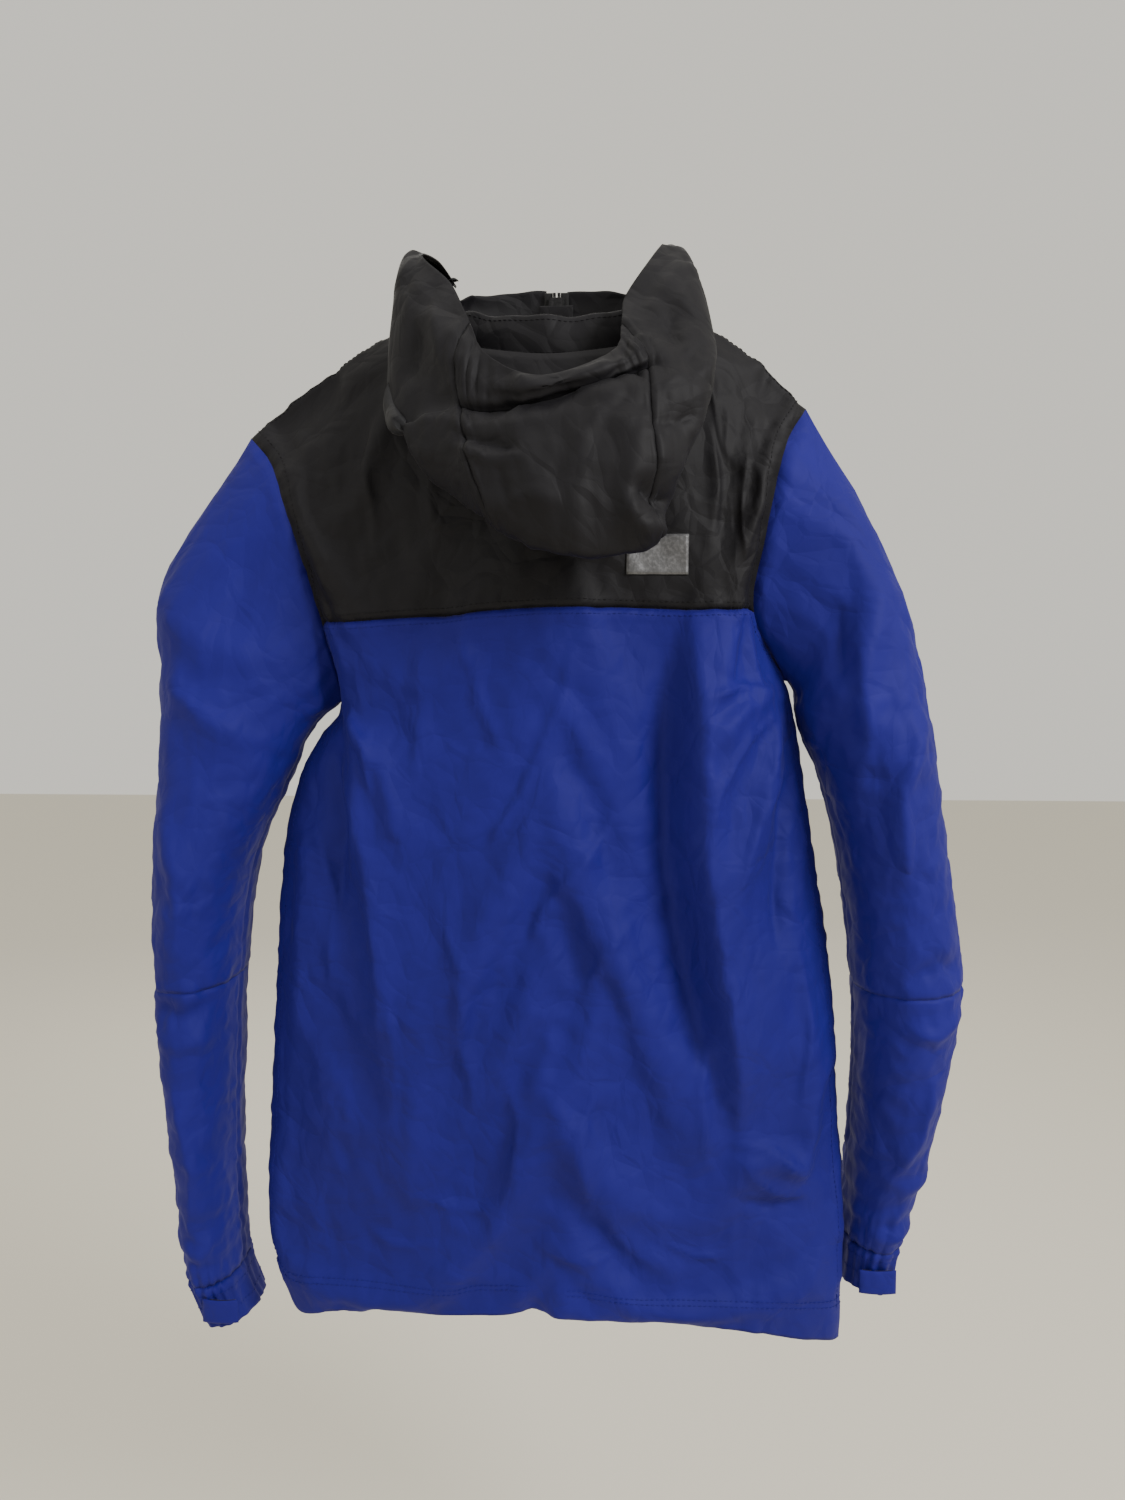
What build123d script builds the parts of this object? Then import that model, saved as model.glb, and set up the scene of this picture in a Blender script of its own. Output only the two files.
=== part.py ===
"""Hardshell jacket, hanging: a two-tone shell of sewn panels, a slumped hood, articulated sleeves,
zips, storm flap and adjustable cuffs.

Millimetres. The origin is the middle of the hang loop at the nape. +X is the wearer's left, the front
faces -Y and +Z is up. Every fabric panel is a strip of constant thickness, lofted through its sections.
"""

import os
from math import acos, asin, cos, degrees, radians, sin, sqrt

from build123d import *

os.makedirs("parts", exist_ok=True)

# ---------------------------------------------------------------- driving dimensions
FABRIC = 2.5  # panel thickness: laminate, lining and seam allowance
GAP = 0.3  # clearance between pieces of different bodies
FAR = 900.0  # past the end of the jacket in any direction

# collar: an oval tube that leans back, sewn on along the neckline
COLLAR_TILT = 25.0
NECK = (18.0, 98.0, 58.0, COLLAR_TILT)
COLLAR_TOP = (48.0, 84.0, 58.0, COLLAR_TILT)
NAPE_Y = 6.8  # outer face of the collar behind the hang loop
FRONT_Y = NAPE_Y - 2 * NECK[2] * cos(radians(COLLAR_TILT))  # the front closure hangs in this plane

# torso sections: height, half width, half depth, backward tilt in degrees
HEM = (-752.0, 236, 58, 0)
YOKE_SEAM = (-198.0, 230, 64, 0)
BODY_SECTIONS = [
    HEM,
    (-660, 237, 61, 0),
    (-570, 237, 64, 0),
    (-490, 235, 66, 0),
    (-420, 228, 68, 0),
    (-360, 212, 68, 0),
    (-310, 189, 67, 0),
    (-278, 174, 66, 0),
    (-238, 196, 65, 0),
    YOKE_SEAM,
]
YOKE_SECTIONS = [
    YOKE_SEAM,
    (-140, 248, 62, 0),
    (-90, 248, 60, 3),
    (-46, 224, 58, 9),
    (-10, 172, 58, 17),
    NECK,
]
FRONT_OVAL = (234.0, 66.0)  # half width and half depth of the front where the pockets and eyelets sit
PATCH_OVAL = (248.0, 63.0)  # half width and half depth of the yoke under the reflective patch
SIDE_SEAM = 8.0  # degrees that the side seam sits forward of the widest point
SEAM_GAP = 0.1  # degrees between two panels, so that their edges don't overlap

# armhole: a plane through the shoulder tip and the underarm, on each side
SHOULDER_TIP = (216.0, -46.0)
UNDERARM = (176.0, -278.0)

# sleeve sections: centre x, y, z, lean of the section in degrees, half width, half depth
BODY_Y = -37.0
UPPER_SLEEVE = [
    (197.0, BODY_Y - 2, -162, 80.2, 115, 42),
    (240, BODY_Y - 2, -226, 56, 87, 54),
    (268, BODY_Y, -300, 22, 51, 66),
    (280, BODY_Y, -385, 4, 37, 68),
    (285, BODY_Y, -490, 0, 35, 64),
]
LOWER_SLEEVE = {
    "left": [
        (288, BODY_Y - 4, -570, 0, 33, 58),
        (287, BODY_Y - 10, -660, 0, 28, 51),
        (276, BODY_Y - 16, -752, 0, 25, 44),
    ],
    "right": [
        (288, BODY_Y - 8, -560, 0, 34, 58),
        (281, BODY_Y - 22, -640, 0, 30, 51),
        (268, BODY_Y - 36, -722, 0, 25, 44),
    ],
}
CUFF_DEPTH = 34.0
CUFF_SQUEEZE = 3.0  # how much the elastic narrows the cuff at its lower edge
SIDES = {"left": 1, "right": -1}

# hood, slumped behind the neck: height, centre x, centre y, half width, half depth
HOOD = [
    (-168, -20, 40, 14, 32),
    (-160, -18, 36, 50, 46),
    (-120, -8, 30, 92, 74),
    (-60, 0, 16, 114, 96),
    (0, 0, -10, 121, 112),
    (45, 3, -32, 116, 112),
    (84, 5, -50, 100, 100),
]
HOOD_SPREAD = 12.0  # degrees that the hood's sides reach past its widest point
HOOD_SEAMS = (-30.0, 36.0)  # x of the two seams beside the centre panel
HOOD_CLEAR = 2.0  # between the hood and the yoke behind the neck
# outline of the face opening, seen from behind
OPENING = [(-84, 120), (-72, 20), (-46, -36), (36, -44), (64, -10), (84, 34), (100, 120)]
BRIM_WIDTH = 16.0

# zips, set out from the fabric's outer face
ZIP_SLOT = 10.0  # half width of the slot that the tapes fill
ZIP_TOP = 68.0
ZIP_BOTTOM = HEM[0] + 12
SLIDER_LENGTH = 14.0
SLIDER_REST = 58.0
POCKET_X = 122.0
POCKET_BOTTOM = -575.0
POCKET_TOP = -405.0

# storm flap over the front zip
FLAP_EDGE = 22.0
FLAP_STAND_OFF = 5.0
FLAP_THICK = 2.0
FLAP_TOP = 26.0
FLAP_BOTTOM = HEM[0] + 2
PAD_COUNT = 5
PAD_LENGTH = 40.0

# hem channel and the eyelets of its drawcord
CHANNEL_HEIGHT = 26.0
CHANNEL_INSET = 7.0
EYELET_R = 3.5  # hole through the fabric
EYELET_BARREL_R = 3.2
EYELET_BORE_R = 2.2
EYELET_FLANGE_R = 5.5
HEM_EYELET_X = 62.0

# reflective patch on the right of the back yoke
PATCH_X = (-104.0, -58.0)
PATCH_Z = (-168.0, -138.0)

# hang loop
LOOP_HALF_WIDTH = 24.0
LOOP_HEIGHT = 6.0
LOOP_THICK = 1.2
LOOP_CLEAR = 6.0


# ---------------------------------------------------------------- helpers
def keep(name, part):
    """Label a finished piece and write it as its own STEP file."""
    part.label = name
    export_step(part, f"parts/{name}.step")


def block(x0, x1, y0, y1, z0, z1):
    """A plain block between two corners."""
    centre = Pos((x0 + x1) / 2, (y0 + y1) / 2, (z0 + z1) / 2)
    return centre * Box(x1 - x0, y1 - y0, z1 - z0, mode=Mode.PRIVATE)


def block_on(plane, across, up, out):
    """A block set out in a plane's own axes, from three (low, high) pairs."""
    (u0, u1), (v0, v1), (w0, w1) = (sorted(pair) for pair in (across, up, out))
    return plane * block(u0, u1, v0, v1, w0, w1)


def cut(part, *tools):
    """What is left of a part after the cutting solids are taken away."""
    with BuildPart() as left:
        add(part)
        for tool in tools:
            add(tool, mode=Mode.SUBTRACT)
    return left.part


def common(part, tool):
    """What a part and a solid share."""
    with BuildPart() as shared:
        add(part)
        add(tool, mode=Mode.INTERSECT)
    return shared.part


def strip(sections, thick=FABRIC):
    """A strip of fabric through sections of (plane, half width, half depth, start angle, end angle)."""
    with BuildPart() as panel:
        for plane, half_width, half_depth, start, end in sections:
            with BuildSketch(plane):
                with BuildLine():
                    sweep_angle = end - start
                    outer = EllipticalCenterArc((0, 0), half_width, half_depth, start, arc_size=sweep_angle)
                    inner = EllipticalCenterArc(
                        (0, 0), half_width - thick, half_depth - thick, start, arc_size=sweep_angle
                    )
                    Line(outer @ 0, inner @ 0)
                    Line(outer @ 1, inner @ 1)
                make_face()
        loft(ruled=True)
    return panel.part


def torso_plane(section):
    """The plane of a torso section; the front of the oval always touches the closure's plane."""
    z, _, half_depth, tilt = section
    lean = radians(tilt)
    return Plane(
        origin=(0, FRONT_Y + half_depth * cos(lean), z),
        x_dir=(1, 0, 0),
        z_dir=(0, sin(lean), cos(lean)),
    )


def torso_strip(sections, start, end, inset=0.0, thick=FABRIC):
    """A torso panel; an end of None stops at the slot for the front zip."""
    rows = []
    for section in sections:
        half_width = section[1] - inset
        slot = degrees(asin(ZIP_SLOT / half_width))
        last = 270 - slot if end is None else end
        rows.append((torso_plane(section), half_width, section[2] - inset, start, last))
    return strip(rows, thick)


def sleeve_plane(station, side):
    """The plane of one sleeve section; its local x runs across the sleeve and up towards the shoulder."""
    x, y, z, lean, _, _ = station
    angle = radians(lean)
    return Plane(
        origin=(side * x, y, z),
        x_dir=(side * cos(angle), 0, sin(angle)),
        z_dir=(-side * sin(angle), 0, cos(angle)),
    )


def tube(stations, side):
    """A fabric tube, open at both ends, sewn from a front and a back half."""
    with BuildPart() as sleeve:
        for start in (0, 180):
            add(strip([(sleeve_plane(s, side), s[4], s[5], start, start + 180) for s in stations]))
    return sleeve.part


def front_plane_at(x):
    """Tangent to the front panel at x; local y is up and local z is outwards."""
    half_width, half_depth = FRONT_OVAL
    root = sqrt(1 - (x / half_width) ** 2)
    slope = half_depth * x / (half_width**2 * root)
    return Plane(
        origin=(x, FRONT_Y + half_depth * (1 - root), 0),
        x_dir=(1, slope, 0),
        z_dir=(slope, -1, 0),
    )


# ---------------------------------------------------------------- torso panels
BACK = (SEAM_GAP - SIDE_SEAM, 180 + SIDE_SEAM - SEAM_GAP)
FRONT_START = 180 + SIDE_SEAM + SEAM_GAP
armholes = []
for side in SIDES.values():
    up = Vector(side * (SHOULDER_TIP[0] - UNDERARM[0]), 0, SHOULDER_TIP[1] - UNDERARM[1])
    out = Vector(side * up.Z, 0, -side * up.X)
    armhole_plane = Plane(origin=(side * SHOULDER_TIP[0], 0, SHOULDER_TIP[1]), x_dir=up, z_dir=out)
    outside = armhole_plane * block(-FAR, FAR, -FAR, FAR, 0, FAR)
    armholes.append(common(outside, block(-FAR, FAR, -FAR, FAR, UNDERARM[1], FAR)))

keep("back_panel", cut(torso_strip(BODY_SECTIONS, *BACK), *armholes))
keep("back_yoke", cut(torso_strip(YOKE_SECTIONS, *BACK), *armholes))

right_front = torso_strip(BODY_SECTIONS, FRONT_START, None)
right_front_yoke = torso_strip(YOKE_SECTIONS, FRONT_START, None)
pocket_planes = {name: front_plane_at(side * POCKET_X) for name, side in SIDES.items()}
eyelet_planes = {name: front_plane_at(side * HEM_EYELET_X) for name, side in SIDES.items()}
EYELET_Z = HEM[0] + CHANNEL_HEIGHT / 2
hem_eyelets = []
for name, side in SIDES.items():
    panel = right_front if side < 0 else mirror(right_front, Plane.YZ)
    yoke = right_front_yoke if side < 0 else mirror(right_front_yoke, Plane.YZ)
    slot = block_on(pocket_planes[name], (-ZIP_SLOT, ZIP_SLOT), (POCKET_BOTTOM, POCKET_TOP), (-14, 14))
    hole_place = eyelet_planes[name] * Pos(0, EYELET_Z, 0)
    hole = hole_place * Cylinder(EYELET_R, 24)
    keep(f"{name}_front_panel", cut(panel, *armholes, slot, hole))
    keep(f"{name}_front_yoke", cut(yoke, *armholes))
    with BuildPart() as eyelet:
        with Locations((0, 0, 1.6)):
            Cylinder(EYELET_FLANGE_R, 0.8)
        with Locations((0, 0, -0.5)):
            Cylinder(EYELET_BARREL_R, 4)
        Cylinder(EYELET_BORE_R, 8, mode=Mode.SUBTRACT)
    hem_eyelets.append(hole_place * eyelet.part)
keep("hem_eyelets", Compound(children=hem_eyelets))

# hem channel: the turned-up hem inside the shell, with room for a drawcord between
hem_low = (HEM[0] + 1, *HEM[1:])
hem_high = (HEM[0] + CHANNEL_HEIGHT, *HEM[1:])
channel_halves = [torso_strip([hem_low, hem_high], 90, 262, CHANNEL_INSET, 1.0)]
channel_halves.append(mirror(channel_halves[0], Plane.YZ))
with BuildPart() as channel:
    for half in channel_halves:
        add(half)
keep("hem_channel", channel.part)

# reflective patch: a thin strip that follows the yoke
patch_sections = [(z, *PATCH_OVAL, 0) for z in PATCH_Z]
patch_angles = sorted(degrees(acos(x / PATCH_OVAL[0])) for x in PATCH_X)
keep("reflective_patch", torso_strip(patch_sections, *patch_angles, -0.8, 0.6))

# ---------------------------------------------------------------- collar, neck facing, loop and label
def lift(section, rise):
    """The same section a little higher."""
    return (section[0] + rise, *section[1:])


collar_sections = [lift(NECK, GAP), COLLAR_TOP]
COLLAR_SEAM = 40.0
keep("collar_back", torso_strip(collar_sections, COLLAR_SEAM + SEAM_GAP, 180 - COLLAR_SEAM - SEAM_GAP))
collar_right = torso_strip(collar_sections, 180 - COLLAR_SEAM, None)
keep("collar_right", collar_right)
keep("collar_left", mirror(collar_right, Plane.YZ))

facing_inset = FABRIC + GAP
FACING = (55, 125)  # degrees that the facing spans behind the neck
keep("neck_facing", torso_strip([lift(NECK, 2), lift(COLLAR_TOP, -4)], *FACING, facing_inset, 1.0))

facing_y = NAPE_Y - facing_inset - 1
with BuildPart() as loop:
    with BuildSketch(Plane.XY.offset(-LOOP_HEIGHT / 2)):
        with Locations((0, -(LOOP_CLEAR + LOOP_THICK) / 2)):
            Rectangle(2 * LOOP_HALF_WIDTH, LOOP_THICK)
        with Locations(*[(end * (LOOP_HALF_WIDTH - LOOP_THICK), -LOOP_CLEAR / 4 - 0.2) for end in (-1, 1)]):
            Rectangle(2 * LOOP_THICK, LOOP_CLEAR / 2 + 0.4)
    extrude(amount=LOOP_HEIGHT)
keep("hang_loop", loop.part)

with BuildPart() as size_label:
    with Locations((0, facing_y - 1.4, -18)):
        Box(34, 0.8, 20)
    fillet(size_label.edges().filter_by(Axis.Y), 2)
keep("size_label", size_label.part)


# ---------------------------------------------------------------- zips
def zip_tapes(plane, bottom, top):
    """The two woven tapes, one each side of the teeth."""
    with BuildPart() as tapes:
        for edge in (1, -1):
            add(block_on(plane, (edge * 3.3, edge * (ZIP_SLOT - 0.3)), (bottom, top), (-3.9, -2.9)))
    return tapes.part


def zip_teeth(plane, bottom, top):
    """Both rows of the chain, with room for the slider's post between them."""
    with BuildPart() as rows:
        for edge in (1, -1):
            add(block_on(plane, (edge * 0.7, edge * 3.0), (bottom, top), (-5.4, -1.4)))
    return rows.part


def zip_slider(plane, height):
    """Two plates joined by a post, flanges that hold the rows together, and a bridge for the pull."""
    low, high = height - SLIDER_LENGTH / 2, height + SLIDER_LENGTH / 2
    with BuildPart() as slider:
        add(block_on(plane, (-6.5, 6.5), (low, high), (-0.8, 1.2)))
        add(block_on(plane, (-6.5, 6.5), (low, high), (-8.0, -6.0)))
        add(block_on(plane, (-0.4, 0.4), (high - 5, high), (-6.0, -0.8)))
        for edge in (1, -1):
            for out in ((-2.4, -0.8), (-6.0, -4.4)):
                add(block_on(plane, (edge * 4.2, edge * 6.5), (low, high), out))
        add(block_on(plane, (-1.2, 1.2), (height - 3.4, height + 3.4), (1.2, 4.2)))
        add(block_on(plane, (-3, 3), (height - 1.7, height + 1.7), (1.2, 3.2)), mode=Mode.SUBTRACT)
    return slider.part


def zip_pull(plane, height):
    """A cross bar through the bridge, two arms and a grip below."""
    with BuildPart() as pull:
        add(block_on(plane, (-3.2, 3.2), (height - 0.6, height + 0.6), (1.6, 2.8)))
        for edge in (1, -1):
            add(block_on(plane, (edge * 1.7, edge * 3.2), (height - 10, height), (1.6, 2.8)))
        add(block_on(plane, (-3.2, 3.2), (height - 30, height - 9), (1.6, 2.8)))
    return pull.part


closure = Plane(origin=(0, FRONT_Y, 0), x_dir=(1, 0, 0), z_dir=(0, -1, 0))
keep("front_zip_tapes", zip_tapes(closure, ZIP_BOTTOM, ZIP_TOP + 2))
keep("front_zip_teeth", zip_teeth(closure, ZIP_BOTTOM + 8, ZIP_TOP - 1))
with BuildPart() as stops:
    add(block_on(closure, (-3.2, 3.2), (ZIP_BOTTOM, ZIP_BOTTOM + 7.5), (-5.6, -1.2)))
    for edge in (1, -1):
        add(block_on(closure, (edge * 0.7, edge * 3.0), (ZIP_TOP - 0.8, ZIP_TOP + 1.5), (-5.6, -1.2)))
keep("front_zip_stops", stops.part)
keep("inner_placket", block_on(closure, (-14, 14), (HEM[0] + 30, ZIP_TOP - 10), (-10.2, -9.0)))
keep("front_zip_slider", zip_slider(closure, SLIDER_REST))
keep("front_zip_pull", zip_pull(closure, SLIDER_REST))

POCKET_SLIDER = POCKET_TOP - 14
pocket_pieces = {"pocket_zip_tapes": [], "pocket_zip_teeth": [], "pocket_welts": [], "pocket_bags": []}
for name, side in SIDES.items():
    plane = pocket_planes[name]
    pocket_pieces["pocket_zip_tapes"].append(zip_tapes(plane, POCKET_BOTTOM + 1, POCKET_TOP - 1))
    pocket_pieces["pocket_zip_teeth"].append(zip_teeth(plane, POCKET_BOTTOM + 3, POCKET_TOP - 3))
    across = (side * (ZIP_SLOT + 1), side * (ZIP_SLOT + 13))
    pocket_pieces["pocket_welts"].append(
        block_on(plane, across, (POCKET_BOTTOM - 6, POCKET_TOP + 6), (2.2, 4.0))
    )
    across = (side * 14, side * -86)
    pocket_pieces["pocket_bags"].append(
        block_on(plane, across, (POCKET_BOTTOM - 45, POCKET_TOP + 12), (-22.0, -20.4))
    )
    keep(f"{name}_pocket_slider", zip_slider(plane, POCKET_SLIDER))
    keep(f"{name}_pocket_pull", zip_pull(plane, POCKET_SLIDER))
for name, pieces in pocket_pieces.items():
    keep(name, Compound(children=pieces))

# ---------------------------------------------------------------- storm flap
flap_face = FRONT_Y - FLAP_STAND_OFF - FLAP_THICK
flap_back = FRONT_Y - FLAP_STAND_OFF
keep("storm_flap", block(-FLAP_EDGE, FLAP_EDGE - GAP, flap_face, flap_back, FLAP_BOTTOM, FLAP_TOP))
keep(
    "storm_flap_base",
    block(FLAP_EDGE + GAP, FLAP_EDGE + 8, flap_face + GAP, FRONT_Y - 0.2, FLAP_BOTTOM, FLAP_TOP - 20),
)
pad_step = (FLAP_TOP - 40 - FLAP_BOTTOM - PAD_LENGTH) / (PAD_COUNT - 1)
pad_heights = [FLAP_BOTTOM + 20 + pad_step * i for i in range(PAD_COUNT)]
with BuildPart() as hook_pads:
    for z in pad_heights:
        add(block(-20, -11.5, flap_back, flap_back + 1.6, z, z + PAD_LENGTH))
keep("flap_hook_pads", hook_pads.part)
with BuildPart() as loop_pads:
    for z in pad_heights:
        add(block(-20, -11.5, FRONT_Y - 2.4, FRONT_Y - 0.2, z, z + PAD_LENGTH))
keep("flap_loop_pads", loop_pads.part)

# ---------------------------------------------------------------- sleeves, cuffs and tabs
TAB_THICK = 2.0
for name, side in SIDES.items():
    lower = LOWER_SLEEVE[name]
    elbow = UPPER_SLEEVE[-1]
    elbow_below = (*elbow[:2], elbow[2] - GAP, *elbow[3:])
    wrist = lower[-1]
    keep(f"{name}_upper_sleeve", tube(UPPER_SLEEVE, side))
    keep(f"{name}_lower_sleeve", tube([elbow_below, *lower], side))
    cuff_end = (wrist[0] - 3, wrist[1] - 4, wrist[2] - CUFF_DEPTH)
    cuff_low = (*cuff_end, 0, wrist[4] - CUFF_SQUEEZE, wrist[5] - CUFF_SQUEEZE)
    keep(f"{name}_cuff_band", tube([wrist, cuff_low], side))

    # the tab lies across the back of the cuff, over a loop pad and its own hook pad
    mid_z = wrist[2] - CUFF_DEPTH / 2
    pad_y = wrist[1] - 2 + wrist[5] + 0.4
    hook_y = pad_y + 1 + GAP
    mid_x = side * (wrist[0] - 1.5)
    pad_x = (mid_x - 12, mid_x + 12)
    keep(f"{name}_cuff_loop_pad", block(*pad_x, pad_y, pad_y + 1, mid_z - 9, mid_z + 9))
    keep(f"{name}_cuff_hook_pad", block(*pad_x, hook_y, hook_y + 1, mid_z - 8, mid_z + 8))
    with BuildPart() as tab:
        with BuildSketch(Plane(origin=(mid_x, hook_y + 1, mid_z), x_dir=(1, 0, 0), z_dir=(0, 1, 0))):
            RectangleRounded(40, 20, 5)
        extrude(amount=TAB_THICK)
    keep(f"{name}_cuff_tab", tab.part)


# ---------------------------------------------------------------- hood
def hood_strip(start, end):
    """One panel of the hood between two angles, from the bottom of the slump to the top."""
    return strip([(Plane((x, y, z)), wide, deep, start, end) for z, x, y, wide, deep in HOOD])


def back_profile(clear):
    """Points of the yoke's back, in y and z, moved outwards: the hood has to clear them."""
    points = []
    for section in YOKE_SECTIONS:
        z, _, half_depth, tilt = section
        lean = radians(tilt)
        points.append((FRONT_Y + 2 * half_depth * cos(lean) + clear, z - half_depth * sin(lean)))
    return points


def ahead_of_back(clear):
    """Everything in front of the back profile, up to the shoulders, as one prism across the jacket."""
    profile = back_profile(clear)
    shoulder = 26.0
    outline = [(-FAR, profile[0][1] - 40), (profile[0][0], profile[0][1] - 40), *profile]
    outline += [(profile[-1][0], shoulder), (-FAR, shoulder)]
    with BuildPart() as prism:
        with BuildSketch(Plane.YZ):
            with BuildLine():
                Polyline(*outline, close=True)
            make_face()
        extrude(amount=300, both=True)
    return prism.part


def opening(margin):
    """The face opening as a prism from front to back, grown outwards by margin."""
    with BuildPart() as dip:
        with BuildSketch(Plane.XZ):
            with BuildLine():
                Polyline(*[(x, z) for x, z in OPENING], close=True)
            make_face()
            if margin:
                offset(amount=margin, kind=Kind.INTERSECTION)
        extrude(amount=-300)
    return dip.part


room = ahead_of_back(HOOD_CLEAR)
hood_shell = cut(hood_strip(-HOOD_SPREAD, 180 + HOOD_SPREAD), room)
hood_cells = {
    "hood_left_panel": (HOOD_SEAMS[1], FAR),
    "hood_center_panel": HOOD_SEAMS,
    "hood_right_panel": (-FAR, HOOD_SEAMS[0]),
}
hood_panels = cut(hood_shell, opening(BRIM_WIDTH))
for name, (low_x, high_x) in hood_cells.items():
    keep(name, common(hood_panels, block(low_x, high_x, -FAR, FAR, -FAR, FAR)))
keep("hood_brim", cut(common(hood_shell, opening(BRIM_WIDTH)), opening(0)))

# the layer of the hood that lies against the yoke, inside the outer panels
with BuildPart() as inside:
    for z, x, y, wide, deep in HOOD[1:5]:
        with BuildSketch(Plane((x, y, z))):
            Ellipse(wide - FABRIC - 1, deep - FABRIC - 1)
    loft(ruled=True)
back_layer = cut(ahead_of_back(HOOD_CLEAR + FABRIC), room, block(-FAR, FAR, -FAR, FAR, -6, FAR))
keep("hood_lining", common(inside.part, back_layer))
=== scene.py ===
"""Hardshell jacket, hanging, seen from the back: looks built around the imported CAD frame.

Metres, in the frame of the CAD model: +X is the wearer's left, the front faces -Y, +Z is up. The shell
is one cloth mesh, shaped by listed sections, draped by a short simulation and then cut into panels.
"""

import math

import bmesh
import bpy
import numpy as np
from mathutils import Matrix, Vector
from mathutils.bvhtree import BVHTree
from mathutils.kdtree import KDTree


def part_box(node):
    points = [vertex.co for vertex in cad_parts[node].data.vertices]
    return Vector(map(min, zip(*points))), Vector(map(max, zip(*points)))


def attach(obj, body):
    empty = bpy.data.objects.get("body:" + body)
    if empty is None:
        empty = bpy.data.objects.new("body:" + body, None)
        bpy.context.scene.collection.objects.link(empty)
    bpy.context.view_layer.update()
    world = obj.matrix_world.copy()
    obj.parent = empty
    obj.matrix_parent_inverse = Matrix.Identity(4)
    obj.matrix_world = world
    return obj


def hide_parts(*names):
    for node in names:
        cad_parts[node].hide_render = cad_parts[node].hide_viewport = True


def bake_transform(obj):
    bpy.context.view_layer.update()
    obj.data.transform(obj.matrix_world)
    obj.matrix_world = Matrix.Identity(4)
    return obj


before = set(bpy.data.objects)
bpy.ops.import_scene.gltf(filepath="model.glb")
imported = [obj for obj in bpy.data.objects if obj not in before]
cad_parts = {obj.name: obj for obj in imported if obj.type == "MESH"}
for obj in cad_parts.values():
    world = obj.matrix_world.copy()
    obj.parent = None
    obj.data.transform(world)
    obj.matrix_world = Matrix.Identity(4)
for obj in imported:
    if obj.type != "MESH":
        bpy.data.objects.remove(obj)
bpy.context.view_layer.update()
MM = 0.001
RNG = np.random.default_rng(7)

# ------------------------------------------------------------------ camera, floor and light
IMAGE_WIDTH, IMAGE_HEIGHT = 1125, 1500
CAMERA_PLACE = Vector((-0.055, 0.864, -0.225))
CAMERA_YAW = math.radians(3.0)
CAMERA_PITCH = math.radians(5.0)
CAMERA_LENS = 27.05


def look(yaw, pitch):
    """The direction of a camera that faces -Y, turned by yaw and tipped down by pitch."""
    return Vector(
        (math.sin(yaw) * math.cos(pitch), -math.cos(yaw) * math.cos(pitch), -math.sin(pitch))
    )


def add_camera():
    """The photograph's viewpoint: a phone's main lens, upright, close behind the jacket."""
    data = bpy.data.cameras.new("camera")
    data.lens = CAMERA_LENS
    data.sensor_width = 36
    data.clip_start = 0.01
    camera = bpy.data.objects.new("camera", data)
    bpy.context.collection.objects.link(camera)
    camera.location = CAMERA_PLACE
    camera.rotation_euler = look(CAMERA_YAW, CAMERA_PITCH).to_track_quat("-Z", "Y").to_euler()
    bpy.context.scene.camera = camera


def add_area(name, place, target, size, power, colour):
    """A soft rectangular lamp."""
    data = bpy.data.lights.new(name, "AREA")
    data.shape = "RECTANGLE"
    data.size, data.size_y = size
    data.energy = power
    data.color = colour
    lamp = bpy.data.objects.new(name, data)
    bpy.context.collection.objects.link(lamp)
    lamp.location = place
    lamp.rotation_euler = (Vector(target) - Vector(place)).to_track_quat("-Z", "Y").to_euler()


def add_stage():
    """A pale floor well below the jacket, a pale surround and soft lamps."""
    bpy.ops.mesh.primitive_plane_add(size=14, location=(0, 0, -1.25))
    floor = bpy.context.object
    floor.name = "floor"
    floor.data.materials.append(plain("floor_paint", (0.74, 0.70, 0.60), 0.9))
    world = bpy.data.worlds.new("surround")
    world.use_nodes = True
    world.node_tree.nodes["Background"].inputs[0].default_value = (0.86, 0.83, 0.75, 1)
    world.node_tree.nodes["Background"].inputs[1].default_value = 0.96
    bpy.context.scene.world = world
    add_area("window", (-1.7, 1.3, 0.9), (0, 0, -0.4), (0.7, 1.0), 52, (1.0, 0.99, 0.98))
    add_area("room", (1.9, 1.7, 0.3), (0, 0, -0.4), (1.2, 1.6), 8, (1.0, 0.98, 0.95))
    add_area("front_fill", (0.4, -2.2, 0.8), (0, 0, -0.35), (1.6, 1.6), 16, (1.0, 0.98, 0.95))
    add_area("overhead", (0.1, 0.2, 1.7), (0, 0, -0.3), (1.5, 1.5), 8, (1.0, 0.98, 0.96))


# ------------------------------------------------------------------ materials
def plain(name, colour, rough):
    """A single-finish material, for the stage."""
    material = bpy.data.materials.new(name)
    material.use_nodes = True
    shader = material.node_tree.nodes["Principled BSDF"]
    shader.inputs["Base Color"].default_value = (*colour, 1)
    shader.inputs["Roughness"].default_value = rough
    return material


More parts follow.
